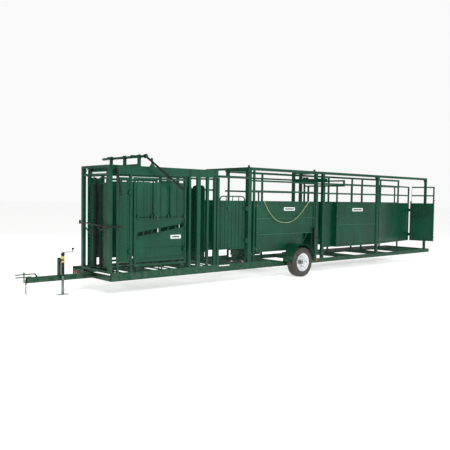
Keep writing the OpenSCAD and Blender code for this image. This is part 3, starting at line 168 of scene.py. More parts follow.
def galvanised_steel(name, light, dark):
    """Zinc-plated steel: metallic, with the faint spangle and dull patches of hot-dip zinc."""
    material, tree, skin, place = new_finish(name)
    # Spangle about 15 mm across
    flake = put(tree, "ShaderNodeTexVoronoi", {"Vector": place, "Scale": 70.0}).outputs["Color"]
    shade = put(tree, "ShaderNodeSeparateXYZ", {"Vector": flake}).outputs["X"]
    dull = between(tree, grain(tree, place, 18, 4), 0.4, 0.62)
    tone = mixed(tree, between(tree, shade, 0, 1, 0.1, 0.7), paint(light), paint(dark))
    tone = mixed(tree, times(tree, dull, 0.45), tone, paint("#68675F"))
    tree.links.new(tone, skin.inputs["Base Color"])
    tree.links.new(between(tree, dull, 0, 1, 0.28, 0.55), skin.inputs["Roughness"])
    bumped(tree, skin, grain(tree, place, 240, 2), 0.0008, 0.5)
    skin.inputs["Metallic"].default_value = 1.0
    return material


def moulded_rubber(name, body, worn, dusty, rough=0.62, size=160):
    """Moulded black rubber: matte, greyed by dust in patches, with a fine pebble from the mould."""
    material, tree, skin, place = new_finish(name)
    wear = between(tree, grain(tree, place, 11, 5), 0.38, 0.66)
    tone = mixed(tree, wear, paint(body), paint(worn))
    dust = between(tree, grain(tree, place, 34, 5, 0.7), 0.5, 0.72)
    tone = mixed(tree, times(tree, dust, 0.55), tone, paint(dusty))
    tree.links.new(tone, skin.inputs["Base Color"])
    tree.links.new(between(tree, wear, 0, 1, rough, rough + 0.2), skin.inputs["Roughness"])
    bumped(tree, skin, grain(tree, place, size, 3), 0.0015, 0.6)
    skin.inputs["Specular IOR Level"].default_value = 0.25
    skin.inputs["IOR"].default_value = 1.52
    return material


def prismatic_lens(name, body, glint_red):
    """Moulded acrylic reflector: glossy, with small prisms behind the face, whose glints are painted as
    brighter red cells.
    """
    material, tree, skin, place = new_finish(name)
    cells = put(tree, "ShaderNodeTexVoronoi", {"Vector": place, "Scale": 180.0})
    shade = put(tree, "ShaderNodeSeparateXYZ", {"Vector": cells.outputs["Color"]}).outputs["X"]
    # Each prism cell is painted between the body red and a brighter red: painted glints
    tree.links.new(mixed(tree, shade, paint(body), paint(glint_red)), skin.inputs["Base Color"])
    tree.links.new(between(tree, shade, 0, 1, 0.1, 0.3), skin.inputs["Roughness"])
    bumped(tree, skin, cells.outputs["Distance"], 0.001, 0.6)
    skin.inputs["IOR"].default_value = 1.49
    skin.inputs["Coat Weight"].default_value = 0.5
    return material


def printed_vinyl(name, body, soiled):
    """Vinyl film on a thin plate: smooth and half-gloss, yellowing a little, with grime at random."""
    material, tree, skin, place = new_finish(name)
    grime = between(tree, grain(tree, place, 22, 5, 0.65), 0.48, 0.75)
    tone = mixed(tree, times(tree, grime, 0.6), paint(body), paint(soiled))
    tree.links.new(tone, skin.inputs["Base Color"])
    tree.links.new(between(tree, grime, 0, 1, 0.3, 0.55), skin.inputs["Roughness"])
    bumped(tree, skin, grain(tree, place, 60, 2), 0.0006, 0.4)
    skin.inputs["IOR"].default_value = 1.46
    return material


def laid_rope(name, body, light, dark):
    """Three-strand polypropylene rope: waxy fibres that shine along the lay, dirty between strands."""
    material, tree, skin, _ = new_finish(name)
    lay = put(tree, "ShaderNodeUVMap", uv_map="lay").outputs[0]
    fibre = grain(tree, lay, 90, 4, 0.6, (1, 14, 1))       # fibres about 0.5 mm, drawn wider
    tone = mixed(tree, between(tree, fibre, 0.35, 0.65), paint(body), paint(light))
    soil = between(tree, grain(tree, lay, 6, 4), 0.5, 0.72)
    tree.links.new(mixed(tree, times(tree, soil, 0.7), tone, paint(dark)), skin.inputs["Base Color"])
    tree.links.new(between(tree, soil, 0, 1, 0.5, 0.8), skin.inputs["Roughness"])
    bumped(tree, skin, fibre, 0.001, 0.7)
    skin.inputs["Sheen Weight"].default_value = 0.2
    return material


green_enamel = sprayed_enamel("green_alkyd_enamel", "#04402B", "#084C35", "#022719", "#1F2A25", 0.05)
# Lighter green for the raised wall seams: a painted highlight where light falls on their top edges
seam_highlight_enamel = sprayed_enamel("seam_highlight_green_enamel", "#1E6047", "#2B6F55", "#0D4531", "#3E4A44", 0.05)
deck_enamel = sprayed_enamel("dark_green_deck_enamel", "#043122", "#073C2B", "#021C14", "#40463E", 0.03)
black_enamel = sprayed_enamel("black_lever_enamel", "#0D0F10", "#151718", "#070808", "#35383A", 0.08)
white_enamel = sprayed_enamel("white_wheel_enamel", "#E3E8EC", "#F1F4F6", "#B9BDBC", "#8C8A82", 0.3)
zinc_plate = galvanised_steel("zinc_plated_steel", "#969DA0", "#6B7174")
tyre_rubber = moulded_rubber("vulcanised_tyre_rubber", "#3A3937", "#55524D", "#7B756A")
pad_rubber = moulded_rubber("extruded_neck_rubber", "#0E0F10", "#161718", "#2B2B29", 0.6, 90)
grip_vinyl = moulded_rubber("dipped_vinyl_grip", "#17191A", "#222425", "#3C3D3B", 0.5, 120)
# The second, brighter red is the prisms' painted glint
red_acrylic = prismatic_lens("red_prismatic_acrylic", "#8E1410", "#D8382A")
label_vinyl = printed_vinyl("white_printed_vinyl", "#EDF1EF", "#B8BCB2")
band_vinyl = printed_vinyl("yellow_printed_vinyl", "#E2B93A", "#A98F3F")
rope_fibre = laid_rope("laid_polypropylene_rope", "#93A45F", "#C2CC8C", "#5A6440")
finish_of = {"green_paint": green_enamel, "dark_green_paint": deck_enamel, "white_paint": white_enamel,
             "black_paint": black_enamel, "zinc_steel": zinc_plate, "tyre_rubber": tyre_rubber,
             "black_rubber": pad_rubber, "red_lens": red_acrylic, "rope_fibre": rope_fibre}
for part in frame["record"]["subparts"]:
    node = nodes[part["node"]]
    node.data.materials.clear()
    node.data.materials.append(finish_of[part["material_slot"]])


# ------------------------------------------------------------ mesh helpers
def piece(name, bm, finish, body, smooth=False):
    mesh = bpy.data.meshes.new(name)
    bm.to_mesh(mesh)
    bm.free()
    mesh.materials.append(finish)
    for face in mesh.polygons:
        face.use_smooth = smooth
    obj = bpy.data.objects.new(name, mesh)
    bpy.context.collection.objects.link(obj)
    if body:
        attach(obj, body)
    return obj


def loft(bm, rings, closed=False):
    """Skins a list of rings of points, with both ends capped unless the loft is closed."""
    made = [[bm.verts.new(p) for p in ring] for ring in rings]
    count = len(made[0])
    pairs = list(zip(made, made[1:])) + ([(made[-1], made[0])] if closed else [])
    for a, b in pairs:
        for k in range(count):
            bm.faces.new((a[k], a[(k + 1) % count], b[(k + 1) % count], b[k]))
    if not closed:
        bm.faces.new(made[0][::-1])
        bm.faces.new(made[-1])


def outward(bm):
    bmesh.ops.remove_doubles(bm, verts=bm.verts, dist=1e-6)
    bmesh.ops.recalc_face_normals(bm, faces=bm.faces)


# -------------------------------------------------------------------- rope
ROPE_R = 0.007
ROPE_Y = -0.778                 # the rope hangs just clear of the first alley wall
SHEET_TOP = 1.765               # top edge of that wall's sheet; the rope's two eyes sit 12 mm below it
rope_route = [at(x, ROPE_Y, z) for x, z in (
    (3.920, 1.735), (3.985, 1.640), (4.060, 1.540), (4.150, 1.445), (4.250, 1.365), (4.360, 1.310),
    (4.480, 1.278), (4.600, 1.268), (4.720, 1.272), (4.840, 1.295), (4.950, 1.340), (5.050, 1.400),
    (5.150, 1.475), (5.240, 1.555), (5.330, 1.645), (5.430, 1.740))]


def smooth_route(points, steps):
    """A curve through all the points, with this many steps between two of them."""
    made = []
    for i in range(len(points) - 1):
        a, b = points[max(0, i - 1)], points[i]
        c, d = points[i + 1], points[min(len(points) - 1, i + 2)]
        for k in range(steps):
            t = k / steps
            made.append(0.5 * (2 * b + (c - a) * t + (2 * a - 5 * b + 4 * c - d) * t * t
                               + (3 * b - a - 3 * c + d) * t ** 3))
    return made + [points[-1]]


def laid_tube(route, radius, twist=0.07, sides=18):
    """A tube whose section has three lobes that wind round it once every twist metres."""
    bm = bmesh.new()
    uv = bm.loops.layers.uv.new("lay")
    rings, run = [], 0.0
    for i, point in enumerate(route):
        ahead = (route[min(i + 1, len(route) - 1)] - route[max(i - 1, 0)]).normalized()
        across = Vector((0, 1, 0)) - ahead * ahead.y
        across.normalize()
        other = ahead.cross(across)
        if i:
            run += (point - route[i - 1]).length
        ring = []
        for k in range(sides):
            angle = 2 * math.pi * k / sides
            lobe = radius * (0.80 + 0.20 * abs(math.cos(1.5 * (angle - 2 * math.pi * run / twist))))
            ring.append(point + lobe * (math.cos(angle) * across + math.sin(angle) * other))
        rings.append(ring)
    loft(bm, rings)
    outward(bm)
    for face in bm.faces:
        for loop in face.loops:
            loop[uv].uv = (loop.vert.co.x, loop.vert.co.z)
    return bm


def make_rope():
    route = smooth_route(rope_route, 26)
    rope = piece("rope_strands", laid_tube(route, ROPE_R), rope_fibre, "frame", True)
    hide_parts("rope")
    # A turn of the rope round each eye, with its knot
    for end, name in ((rope_route[0], "front"), (rope_route[-1], "rear")):
        eye = Vector((end.x, end.y + 0.0025, SHEET_TOP - 0.012))
        turns = [eye + Vector((0.019 * math.cos(a), 0.0105 * (a / 12 - 0.5), 0.017 * math.sin(a)))
                 for a in [math.radians(18 * k) for k in range(-6, 36)]]
        knot = laid_tube(turns, 0.0055, 0.05, 12)
        piece("rope_turn_" + name, knot, rope_fibre, "frame", True)


make_rope()


# ----------------------------------------------- geometry nodes for repeats
def repeat_tree(name, shape, finish):
    """A tree that sets one shape on each point; Size and Turn are its inputs."""
    tree = bpy.data.node_groups.new(name, "GeometryNodeTree")
    face = tree.interface
    face.new_socket("Geometry", in_out="INPUT", socket_type="NodeSocketGeometry")
    face.new_socket("Size", in_out="INPUT", socket_type="NodeSocketVector")
    face.new_socket("Turn", in_out="INPUT", socket_type="NodeSocketRotation")
    face.new_socket("Geometry", in_out="OUTPUT", socket_type="NodeSocketGeometry")
    came = put(tree, "NodeGroupInput")
    points = put(tree, "GeometryNodeMeshToPoints", {"Mesh": came.outputs["Geometry"]})
    one = shape(tree)
    spread = put(tree, "GeometryNodeInstanceOnPoints", {"Points": points.outputs[0], "Instance": one,
                                                        "Rotation": came.outputs["Turn"],
                                                        "Scale": came.outputs["Size"]})
    solid = put(tree, "GeometryNodeRealizeInstances", {"Geometry": spread.outputs[0]})
    painted = put(tree, "GeometryNodeSetMaterial", {"Geometry": solid.outputs[0], "Material": finish})
    put(tree, "NodeGroupOutput", {"Geometry": painted.outputs[0]})
    return tree


def hex_head(tree):
    """A unit bolt head on its washer, standing on +Z."""
    head = put(tree, "GeometryNodeMeshCylinder", {"Vertices": 6, "Radius": 0.5, "Depth": 0.36})
    head = put(tree, "GeometryNodeTransform", {"Geometry": head.outputs["Mesh"], "Translation": (0, 0, 0.27)})
    crown = put(tree, "GeometryNodeMeshCone", {"Vertices": 12, "Radius Top": 0.30, "Radius Bottom": 0.46,
                                               "Depth": 0.07})
    crown = put(tree, "GeometryNodeTransform", {"Geometry": crown.outputs["Mesh"],
                                                "Translation": (0, 0, 0.45)})
    washer = put(tree, "GeometryNodeMeshCylinder", {"Vertices": 16, "Radius": 0.64, "Depth": 0.1})
    washer = put(tree, "GeometryNodeTransform", {"Geometry": washer.outputs["Mesh"],
                                                 "Translation": (0, 0, 0.04)})
    join = put(tree, "GeometryNodeJoinGeometry")
    for part in (head, crown, washer):
        tree.links.new(part.outputs[0], join.inputs[0])
    return join.outputs[0]


def weld_scale(tree):
    """One scale of a weld bead: a flattened dome."""
    dome = put(tree, "GeometryNodeMeshIcoSphere", {"Radius": 0.5, "Subdivisions": 2})
    return dome.outputs["Mesh"]


def lozenge(tree):
    """One raised lozenge of tread plate."""
    cone = put(tree, "GeometryNodeMeshCone", {"Vertices": 8, "Radius Top": 0.34, "Radius Bottom": 0.5,
                                              "Depth": 1.0})
    return cone.outputs["Mesh"]


def repeated(name, tree, points, size, turn, body):
    """Bakes the tree's shape on these points into one plain mesh that rides on the body."""
    mesh = bpy.data.meshes.new(name + "_points")
    mesh.from_pydata([tuple(p) for p in points], [], [])
    obj = bpy.data.objects.new(name + "_points", mesh)
    bpy.context.collection.objects.link(obj)
    modifier = obj.modifiers.new("repeat", "NODES")
    modifier.node_group = tree
    for item in tree.interface.items_tree:
        if item.in_out == "INPUT" and item.name == "Size":
            modifier[item.identifier] = size
        if item.in_out == "INPUT" and item.name == "Turn":
            modifier[item.identifier] = turn
    graph = bpy.context.evaluated_depsgraph_get()
    baked = bpy.data.meshes.new_from_object(obj.evaluated_get(graph))
    bpy.data.objects.remove(obj)
    made = bpy.data.objects.new(name, baked)
    bpy.context.collection.objects.link(made)
    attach(made, body)
    return made


bolts = repeat_tree("bolt heads", hex_head, zinc_plate)
green_bolts = repeat_tree("painted bolt heads", hex_head, green_enamel)
welds = repeat_tree("weld beads", weld_scale, green_enamel)
treads = repeat_tree("deck lozenges", lozenge, deck_enamel)
TO_NEAR = (math.pi / 2, 0, 0)        # stands on a face that looks towards the operator
TO_HEAD = (0, -math.pi / 2, 0)
UPWARD = (0, 0, 0)


def bead(a, b, step=0.007):
    """Points along a weld, one for each scale of its bead."""
    run = (b - a).length
    count = max(2, int(run / step))
    return [a.lerp(b, k / count) for k in range(count + 1)]


# ------------------------------------------------------------------- tyres
TYRE_R, TYRE_W = 0.344, 0.205
SHOULDER_COUNT, RIB_COUNT = 64, 72          # blocks in one ring of the tread
SHOULDER_BLOCK = (0.012, 0.030, 0.020)      # height, width and length of one block
RIB_BLOCK = (0.0085, 0.018, 0.021)
SHOULDER_LEAN = 0.34                        # a shoulder block's lean, in radians


def turned(profile, centre, turns=96):
    """Turns a closed profile of (radius, along) about the Y axis through centre."""
    bm = bmesh.new()
    rings = []
    for i in range(turns):
        a = 2 * math.pi * i / turns
        rings.append([centre + Vector((r * math.cos(a), y, r * math.sin(a))) for r, y in profile])
    loft(bm, rings, closed=True)
    outward(bm)
    return bm


def tyre_profile():
    """Carcass from bead to bead, with four grooves in the tread and ribs on the sidewall."""
    half = TYRE_W / 2
    outer = [(0.190, -half + 0.020), (0.200, -half + 0.012), (0.214, -half + 0.007), (0.220, -half + 0.0035),
             (0.2225, -half + 0.0045), (0.238, -half + 0.0015), (0.262, -half + 0.001),
             (0.278, -half + 0.003), (0.280, -half + 0.0015), (0.288, -half + 0.0025),
             (0.290, -half + 0.005), (0.312, -half + 0.012), (0.328, -half + 0.019), (0.3375, -half + 0.030)]
    tread = []
    for groove in (-0.048, -0.016, 0.016, 0.048):
        crown = TYRE_R - 0.0035 * (abs(groove) / 0.07) ** 2 - 0.001
        tread += [(crown, groove - 0.0055), (crown - 0.008, groove - 0.004), (crown - 0.008, groove + 0.004),
                  (crown, groove + 0.0055)]
    far = [(r, -y) for r, y in reversed(outer)]
    inner = [(0.196, half - 0.030), (0.224, half - 0.016), (0.306, half - 0.026), (0.326, half - 0.056),
             (0.326, -half + 0.056), (0.306, -half + 0.026), (0.224, -half + 0.016), (0.196, -half + 0.030)]
    return outer + tread + far + inner


def tread_ring(name, finish):
    """Shoulder blocks set round the tyre: Count, Radius, Reach, Lean, Block and
    Centre are the tree's inputs."""
    tree = bpy.data.node_groups.new(name, "GeometryNodeTree")
    face = tree.interface
    face.new_socket("Geometry", in_out="INPUT", socket_type="NodeSocketGeometry")
    for socket in ("Count", "Radius", "Reach", "Lean"):
        face.new_socket(socket, in_out="INPUT",
                        socket_type="NodeSocketInt" if socket == "Count" else "NodeSocketFloat")
    face.new_socket("Block", in_out="INPUT", socket_type="NodeSocketVector")
    face.new_socket("Centre", in_out="INPUT", socket_type="NodeSocketVector")
    face.new_socket("Geometry", in_out="OUTPUT", socket_type="NodeSocketGeometry")
    came = put(tree, "NodeGroupInput")
    line = put(tree, "GeometryNodeMeshLine", {"Count": came.outputs["Count"]})
    index = put(tree, "GeometryNodeInputIndex")
    step = times(tree, 2 * math.pi, came.outputs["Count"], "DIVIDE")
    angle = times(tree, index.outputs[0], step)
    spin = put(tree, "ShaderNodeCombineXYZ", {"Y": angle})
    reach = put(tree, "ShaderNodeCombineXYZ", {"X": came.outputs["Radius"], "Y": came.outputs["Reach"]})
    swung = put(tree, "ShaderNodeVectorRotate", {"Vector": reach.outputs[0], "Rotation": spin.outputs[0]},
                rotation_type="EULER_XYZ")
    moved = put(tree, "ShaderNodeVectorMath", {0: swung.outputs[0], 1: came.outputs["Centre"]},
                operation="ADD")
    placed = put(tree, "GeometryNodeSetPosition", {"Geometry": line.outputs[0], "Position": moved.outputs[0]})
    block = put(tree, "GeometryNodeMeshCube", {"Size": came.outputs["Block"]})
    tilt = put(tree, "ShaderNodeCombineXYZ", {"X": came.outputs["Lean"], "Y": angle})
    spread = put(tree, "GeometryNodeInstanceOnPoints", {"Points": placed.outputs[0],
                                                        "Instance": block.outputs[0],
                                                        "Rotation": tilt.outputs[0]})
    solid = put(tree, "GeometryNodeRealizeInstances", {"Geometry": spread.outputs[0]})
    painted = put(tree, "GeometryNodeSetMaterial", {"Geometry": solid.outputs[0], "Material": finish})
    put(tree, "NodeGroupOutput", {"Geometry": painted.outputs[0]})
    return tree


shoulder_blocks = tread_ring("shoulder blocks", tyre_rubber)


def ring_of_blocks(name, centre, count, radius, reach, block, lean, body):
    mesh = bpy.data.meshes.new(name)
    obj = bpy.data.objects.new(name, mesh)
    bpy.context.collection.objects.link(obj)
    modifier = obj.modifiers.new("ring", "NODES")
    modifier.node_group = shoulder_blocks
    given = {"Count": count, "Radius": radius, "Reach": reach, "Block": block, "Lean": lean,
             "Centre": tuple(centre)}
    for item in shoulder_blocks.interface.items_tree:
        if item.in_out == "INPUT" and item.name in given:
            modifier[item.identifier] = given[item.name]
    baked = bpy.data.meshes.new_from_object(obj.evaluated_get(bpy.context.evaluated_depsgraph_get()))
    bpy.data.objects.remove(obj)
    made = bpy.data.objects.new(name, baked)
    bpy.context.collection.objects.link(made)
    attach(made, body)


def make_wheel(side, word):
    body = word + "_wheel"
    low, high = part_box(word + "_tyre")
    centre = (Vector(low) + Vector(high)) / 2
    carcass = turned(tyre_profile(), centre)
    tyre = piece(word + "_tyre_carcass", carcass, tyre_rubber, body, True)
    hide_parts(word + "_tyre")
    for s in (-1, 1):
        mark = "a" if s < 0 else "b"
        ring_of_blocks("%s_shoulder_%s" % (word, mark), centre, SHOULDER_COUNT, 0.3315, s * 0.0745,
                       SHOULDER_BLOCK, SHOULDER_LEAN * s, body)
        ring_of_blocks("%s_rib_%s" % (word, mark), centre, RIB_COUNT, 0.3385, s * 0.032, RIB_BLOCK, 0.0, body)
    ring_of_blocks(word + "_rib_mid", centre, RIB_COUNT, 0.3390, 0.0, RIB_BLOCK, 0.0, body)
    # Valve stem and grease cap
    bm = bmesh.new()
    stem = [(0.0045, 0.0), (0.0045, 0.020), (0.0062, 0.021), (0.0062, 0.032), (0.003, 0.034)]
    base = centre + Vector((0.168, side * 0.045, 0))
    loft(bm, [[base + Vector((r * math.cos(t), side * y, r * math.sin(t)))
               for t in [math.radians(30 * k) for k in range(12)]] for r, y in stem])
    outward(bm)
    piece(word + "_valve_stem", bm, pad_rubber, body, True)
    cap = [(0.041, 0.0), (0.041, 0.010), (0.0385, 0.012), (0.0385, 0.030), (0.034, 0.038),
           (0.020, 0.0425), (0.004, 0.0435)]
    hub_low, hub_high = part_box(word + "_hub")
    start = (hub_high[1] if side > 0 else hub_low[1]) - side * 0.001
    bm = bmesh.new()
    loft(bm, [[Vector((centre.x + r * math.cos(t), start + side * y, centre.z + r * math.sin(t)))
               for t in [math.radians(10 * k) for k in range(36)]] for r, y in cap])
    outward(bm)
    piece(word + "_grease_cap", bm, zinc_plate, body, True)


make_wheel(-1, "near")
make_wheel(1, "far")


# ------------------------------------------------------------ label plates
def rounded_plate(name, corner_a, corner_b, thick, finish, body, corner=0.012):
    """A thin plate with rounded corners, between two points on a face that looks towards the operator."""
    x0, x1 = sorted((corner_a.x, corner_b.x))
    z0, z1 = sorted((corner_a.z, corner_b.z))
    outline = []
    for cx, cz, start in ((x1 - corner, z1 - corner, 0), (x0 + corner, z1 - corner, 90),
                          (x0 + corner, z0 + corner, 180), (x1 - corner, z0 + corner, 270)):
        outline += [(cx + corner * math.cos(math.radians(start + 15 * k)),
                     cz + corner * math.sin(math.radians(start + 15 * k))) for k in range(7)]
    bm = bmesh.new()
    levels = ((0.0, 1.0), (thick * 0.7, 1.0), (thick, 0.985))
    mid = Vector(((x0 + x1) / 2, 0, (z0 + z1) / 2))
    loft(bm, [[Vector((mid.x + (x - mid.x) * s, corner_a.y - d, mid.z + (z - mid.z) * s))
               for x, z in outline] for d, s in levels])
    outward(bm)
    return piece(name, bm, finish, body)


# Faces that carry a plate, each with 0.1 mm of room
SHEET_FACE, RAIL_FACE, DOOR_FACE = -0.7401, -0.7601, -0.7291


def make_labels():
    for name, a, b, body in (
            ("wall_plate", at(4.60, SHEET_FACE, 1.545), at(4.98, SHEET_FACE, 1.625), "frame"),
            ("chute_plate", at(7.24, SHEET_FACE, 1.52), at(7.70, SHEET_FACE, 1.605), "frame"),
            ("door_plate", at(1.345, DOOR_FACE, 1.00), at(1.60, DOOR_FACE, 1.075), "side_door")):
        rounded_plate(name, a, b, 0.002, label_vinyl, body)
        mid_z, half = (a.z + b.z) / 2, abs(b.z - a.z) / 2
        rounded_plate(name + "_band", Vector((a.x + 0.04, a.y - 0.0021, mid_z - half * 0.35)),
                      Vector((b.x - 0.04, a.y - 0.0021, mid_z + half * 0.35)), 0.0006, green_enamel, body,
                      corner=0.008)
    # Plain plate across the front of the truss box
    low, high = at(GATE_FACE, -0.64, 2.245), at(GATE_FACE, -0.12, 2.275)
    bm = bmesh.new()
    ring = [(low.y, low.z), (high.y, low.z), (high.y, high.z), (low.y, high.z)]
    loft(bm, [[Vector((low.x - deep, y, z)) for y, z in ring] for deep in (0.0, 0.0016)])
    outward(bm)
    piece("truss_plate", bm, label_vinyl, "frame")
    rounded_plate("rail_strip", at(2.60, RAIL_FACE, 0.372), at(2.90, RAIL_FACE, 0.392), 0.001,
                  label_vinyl, "frame", corner=0.004)


make_labels()


# ------------------------------------------------- sleeves, grips and bands
def sleeve(name, start, end, radii, finish, body, sides=28, hollow=False):
    """A turned sleeve from start to end; radii lists (share of the length, radius). A hollow one is
    open inside, so what slides in the tube behind it passes through."""
    run = end - start
    ahead = run.normalized()
    across = ahead.orthogonal().normalized()
    other = ahead.cross(across)
    bm = bmesh.new()
    angles = [2 * math.pi * k / sides for k in range(sides)]
    loft(bm, [[start + run * share + r * (math.cos(t) * across + math.sin(t) * other) for t in angles]
              for share, r in radii], closed=hollow)
    outward(bm)
    return piece(name, bm, finish, body, True)


def ribbed(inner, crest, ribs):
    """The radii of a grip: a plain end, then this many moulded ribs, then a rolled end."""
    made = [(0.0, inner), (0.01, crest)]
    for k in range(ribs):
        a = 0.03 + 0.92 * k / ribs
        made += [(a, crest), (a + 0.25 * 0.92 / ribs, inner + 0.4 * (crest - inner)),
                 (a + 0.75 * 0.92 / ribs, crest)]
    return made + [(0.97, crest), (0.99, crest + 0.002), (1.0, inner)]


def make_grips():
    lean = math.radians(11)
    pivot = at(0.040, -0.860, 2.370)
    down = Vector((math.sin(lean), 0, -math.cos(lean)))
    sleeve("head_lever_grip", pivot + down * 0.385, pivot + down * 0.551, ribbed(0.0175, 0.0205, 11),
           grip_vinyl, "head_lever")
    tilt = math.radians(34)
    hub = at(0.600, -0.950, 2.580)
    along = Vector((math.cos(tilt), 0, -math.sin(tilt)))
    sleeve("squeeze_lever_grip", hub + along * 0.885, hub + along * 1.071, ribbed(0.0235, 0.0265, 12),
           grip_vinyl, "control")
    jack = at(-0.630, -0.092, 0)
    for name, low, high in (("jack_label_band", 0.655, 0.715), ("jack_label_low", 0.595, 0.630)):
        sleeve(name, jack + Vector((0, 0, low)), jack + Vector((0, 0, high)),
               [(0, 0.0302), (0.02, 0.0308), (0.98, 0.0308), (1, 0.0302)], band_vinyl, "jack",
               hollow=True)
    sleeve("jack_knob", jack + Vector((0.200, 0, 0.818)), jack + Vector((0.200, 0, 0.858)),
           [(0, 0.0128), (0.1, 0.0155), (0.5, 0.0205), (0.85, 0.0228), (0.97, 0.0205), (1, 0.014)],
           black_enamel, "jack_crank")
    release = at(-0.067, -0.030, 0)
    sleeve("release_grip", release + Vector((0, 0, 1.539)), release + Vector((0, 0, 1.702)),
           ribbed(0.0165, 0.0185, 10), grip_vinyl, "release")
    latch = at(5.640, -0.794, 0)
    sleeve("latch_cap", latch + Vector((0, 0, 1.114)), latch + Vector((0, 0, 1.128)),
           [(0, 0.0255), (0.2, 0.027), (0.8, 0.025), (1, 0.012)], black_enamel, "frame")


make_grips()


# --------------------------------------------------------- bolts and welds
def make_bolts():
    small = (0.018, 0.018, 0.016)
    wall = NEAR + 0.002                # outer face of the alley walls' edges
    # Head gate: bolts of the truss box and of the sill
    repeated("gate_bolts", bolts, [at(GATE_FACE, p, z) for p in (NEAR + 0.04, FAR - 0.04)
                                   for z in (2.225, 2.375)], (0.024,) * 3,
             TO_HEAD, "frame")
    repeated("beam_bolts", green_bolts, [at(x, NEAR, z) for x in (0.30, 0.415, 1.805, 2.035, 2.47)
                                       for z in (2.275, 2.365)],
             (0.026,) * 3, TO_NEAR, "frame")
    repeated("arch_bolts", green_bolts, [at(x, NEAR, z) for x in (3.455, 3.505)
                                         for z in (0.45, 0.56, 2.40, 2.47)],
             (0.024,) * 3, TO_NEAR, "frame")
    repeated("wall_bolts", bolts, [at(x, wall, z) for x in (3.715, 5.672) for z in (0.68, 1.05, 1.35, 1.66)],
             small, TO_NEAR, "frame")
    repeated("chute_bolts", bolts, [at(x, wall, z) for x in (6.585, 8.318) for z in (0.70, 1.05, 1.40, 1.68)],
             small, TO_NEAR, "frame")
    repeated("fender_bolts", bolts, [at(x, -0.7765, 0.66) for x in (4.70, 4.80, 5.06, 5.16)], small,
             TO_NEAR, "frame")
    repeated("shaft_cap_bolts", bolts, [at(0.600 + dx, -0.756, 2.580 + dz) for dx in (-0.034, 0.034)
                                        for dz in (-0.012, 0.012)],
             (0.010,) * 3, TO_NEAR, "frame")
    repeated("cage_rivets", green_bolts, [at(2.671 + 0.104 * k, -0.741, z) for k in range(7)
                                          for z in (0.755, 1.725)],
             (0.012,) * 3, TO_NEAR, "cage_door")
    low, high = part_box("near_squeeze_side")
    side_y = at(0, -0.745, 0).y
    repeated("side_bolts", green_bolts, [Vector((x, side_y, z)) for x in (low[0] + 0.02, high[0] - 0.02)
                                         for z in (0.60, 0.90, 1.20, 1.60, 1.95)],
             small, TO_NEAR, "near_squeeze")


# Heights of the beads at the foot and the head of the cage's posts and of the alley's arches
POST_FOOT, POST_HEAD = 0.406, 2.239
ARCH_FOOT, ARCH_HEAD = 0.356, 2.446


def make_welds():
    seams = []
    for x, w in ((0.390, 0.05), (1.780, 0.05), (1.990, 0.09), (2.250, 0.05), (2.440, 0.06), (2.530, 0.06)):
        for y in (NEAR, FAR):
            seams += bead(at(x, y, POST_FOOT), at(x + w, y, POST_FOOT))
            seams += bead(at(x, y, POST_HEAD), at(x + w, y, POST_HEAD))
    for x, w in ((3.430, 0.10), (3.600, 0.04)):
        seams += bead(at(x, NEAR, POST_FOOT), at(x + w, NEAR, POST_FOOT))
    for x, w in ((5.720, 0.075), (5.990, 0.075), (8.340, 0.07), (10.870, 0.062)):
        seams += bead(at(x, NEAR, ARCH_FOOT), at(x + w, NEAR, ARCH_FOOT))
        seams += bead(at(x, NEAR, ARCH_HEAD), at(x + w, NEAR, ARCH_HEAD))
    repeated("post_welds", welds, seams, (0.009, 0.007, 0.007), UPWARD, "frame")
    tongue = []
    for s in (-1, 1):
        tongue += bead(at(-0.22, s * 0.0385, 0.300), at(0, s * 0.0385, 0.300))
        tongue += bead(at(0.0, s * 0.0385, 0.256), at(0.0, s * 0.0385, 0.354))
    repeated("tongue_welds", welds, tongue, (0.008, 0.007, 0.007), UPWARD, "frame")


def make_seam_edges():
    """Raised seams of the alley walls, 16 mm high and bevelled, in a lighter green that is a painted
    highlight along their top edges.
    """
    for name, x0, x1, lows in (("alley_seam_edges", 3.725, 5.655, (1.365, 1.000)),
                               ("chute_seam_edges", 6.605, 8.300, (1.165,))):
        bm = bmesh.new()
        for low in lows:
            section = [(-0.7478, 0.0), (-0.7492, 0.002), (-0.7496, 0.008), (-0.7492, 0.014), (-0.7478, 0.016)]
            loft(bm, [[at(x, y, low + dz) for y, dz in section] for x in (x0, x1)])
        outward(bm)
        piece(name, bm, seam_highlight_enamel, "frame")


make_bolts()
make_welds()
make_seam_edges()


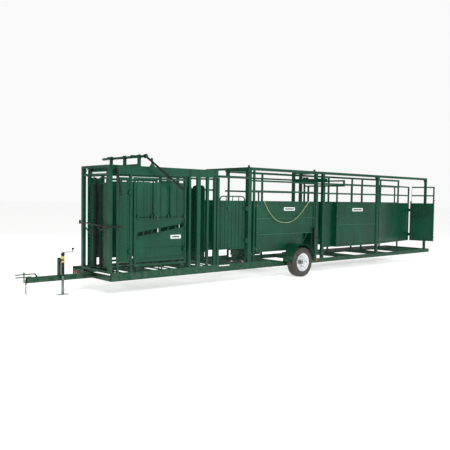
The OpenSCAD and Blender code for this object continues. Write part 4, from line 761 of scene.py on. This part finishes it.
# -------------------------------------------------------------------- deck
def make_deck_treads():
    low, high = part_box("catwalk")
    pitch = 0.055
    marks = []
    rows = int((high[1] - low[1] - 0.06) / pitch)
    for i in range(int((high[0] - low[0] - 0.08) / pitch)):
        for k in range(rows):
            marks.append(Vector((low[0] + 0.05 + i * pitch, low[1] + 0.045 + k * pitch, high[2])))
    for part, turn in ((0, 0.785), (1, -0.785)):
        chosen = [m for n, m in enumerate(marks) if (n // rows + n % rows) % 2 == part]
        repeated("deck_lozenges_%d" % part, treads, chosen, (0.034, 0.011, 0.004), (0, 0, turn), "frame")


make_deck_treads()


# ------------------------------------------------------- floor and lighting
FLOOR_REACH = 400           # so far out that the floor's edge lies on the horizon


def make_studio():
    bm = bmesh.new()
    bmesh.ops.create_grid(bm, x_segments=2, y_segments=2, size=FLOOR_REACH)
    floor = piece("floor", bm, plain_floor(), None)
    world = bpy.data.worlds.new("studio")
    bpy.context.scene.world = world
    world.use_nodes = True
    sky = world.node_tree
    seen = put(sky, "ShaderNodeLightPath").outputs["Is Camera Ray"]
    sky.nodes["Background"].inputs[0].default_value = (1, 1, 1, 1)
    sky.links.new(between(sky, seen, 0, 1, 0.40, 0.95), sky.nodes["Background"].inputs[1])
    for name, kind, power, spot, aim, size in (
            ("key", "AREA", 1500, (-9, -12, 11), (-1, 0, 1), 7),
            ("fill", "AREA", 300, (8, -13, 5), (2, 0, 1), 9),
            ("rim", "AREA", 500, (3, 11, 9), (0, 0, 1.5), 7)):
        data = bpy.data.lights.new(name, kind)
        data.energy, data.size = power, size
        lamp = bpy.data.objects.new(name, data)
        lamp.location = spot
        lamp.rotation_euler = (Vector(aim) - Vector(spot)).to_track_quat("-Z", "Y").to_euler()
        bpy.context.collection.objects.link(lamp)
    bpy.context.scene.view_settings.view_transform = "Standard"


def plain_floor():
    """Smooth pale studio floor."""
    material, tree, skin, place = new_finish("pale_studio_floor")
    tone = mixed(tree, grain(tree, place, 0.4, 2), paint("#F4F4F3"), paint("#F8F8F7"))
    tree.links.new(tone, skin.inputs["Base Color"])
    skin.inputs["Roughness"].default_value = 0.9
    skin.inputs["Emission Color"].default_value = (1, 1, 1, 1)       # lifts the floor to the backdrop's white
    skin.inputs["Emission Strength"].default_value = 0.56
    return material


make_studio()
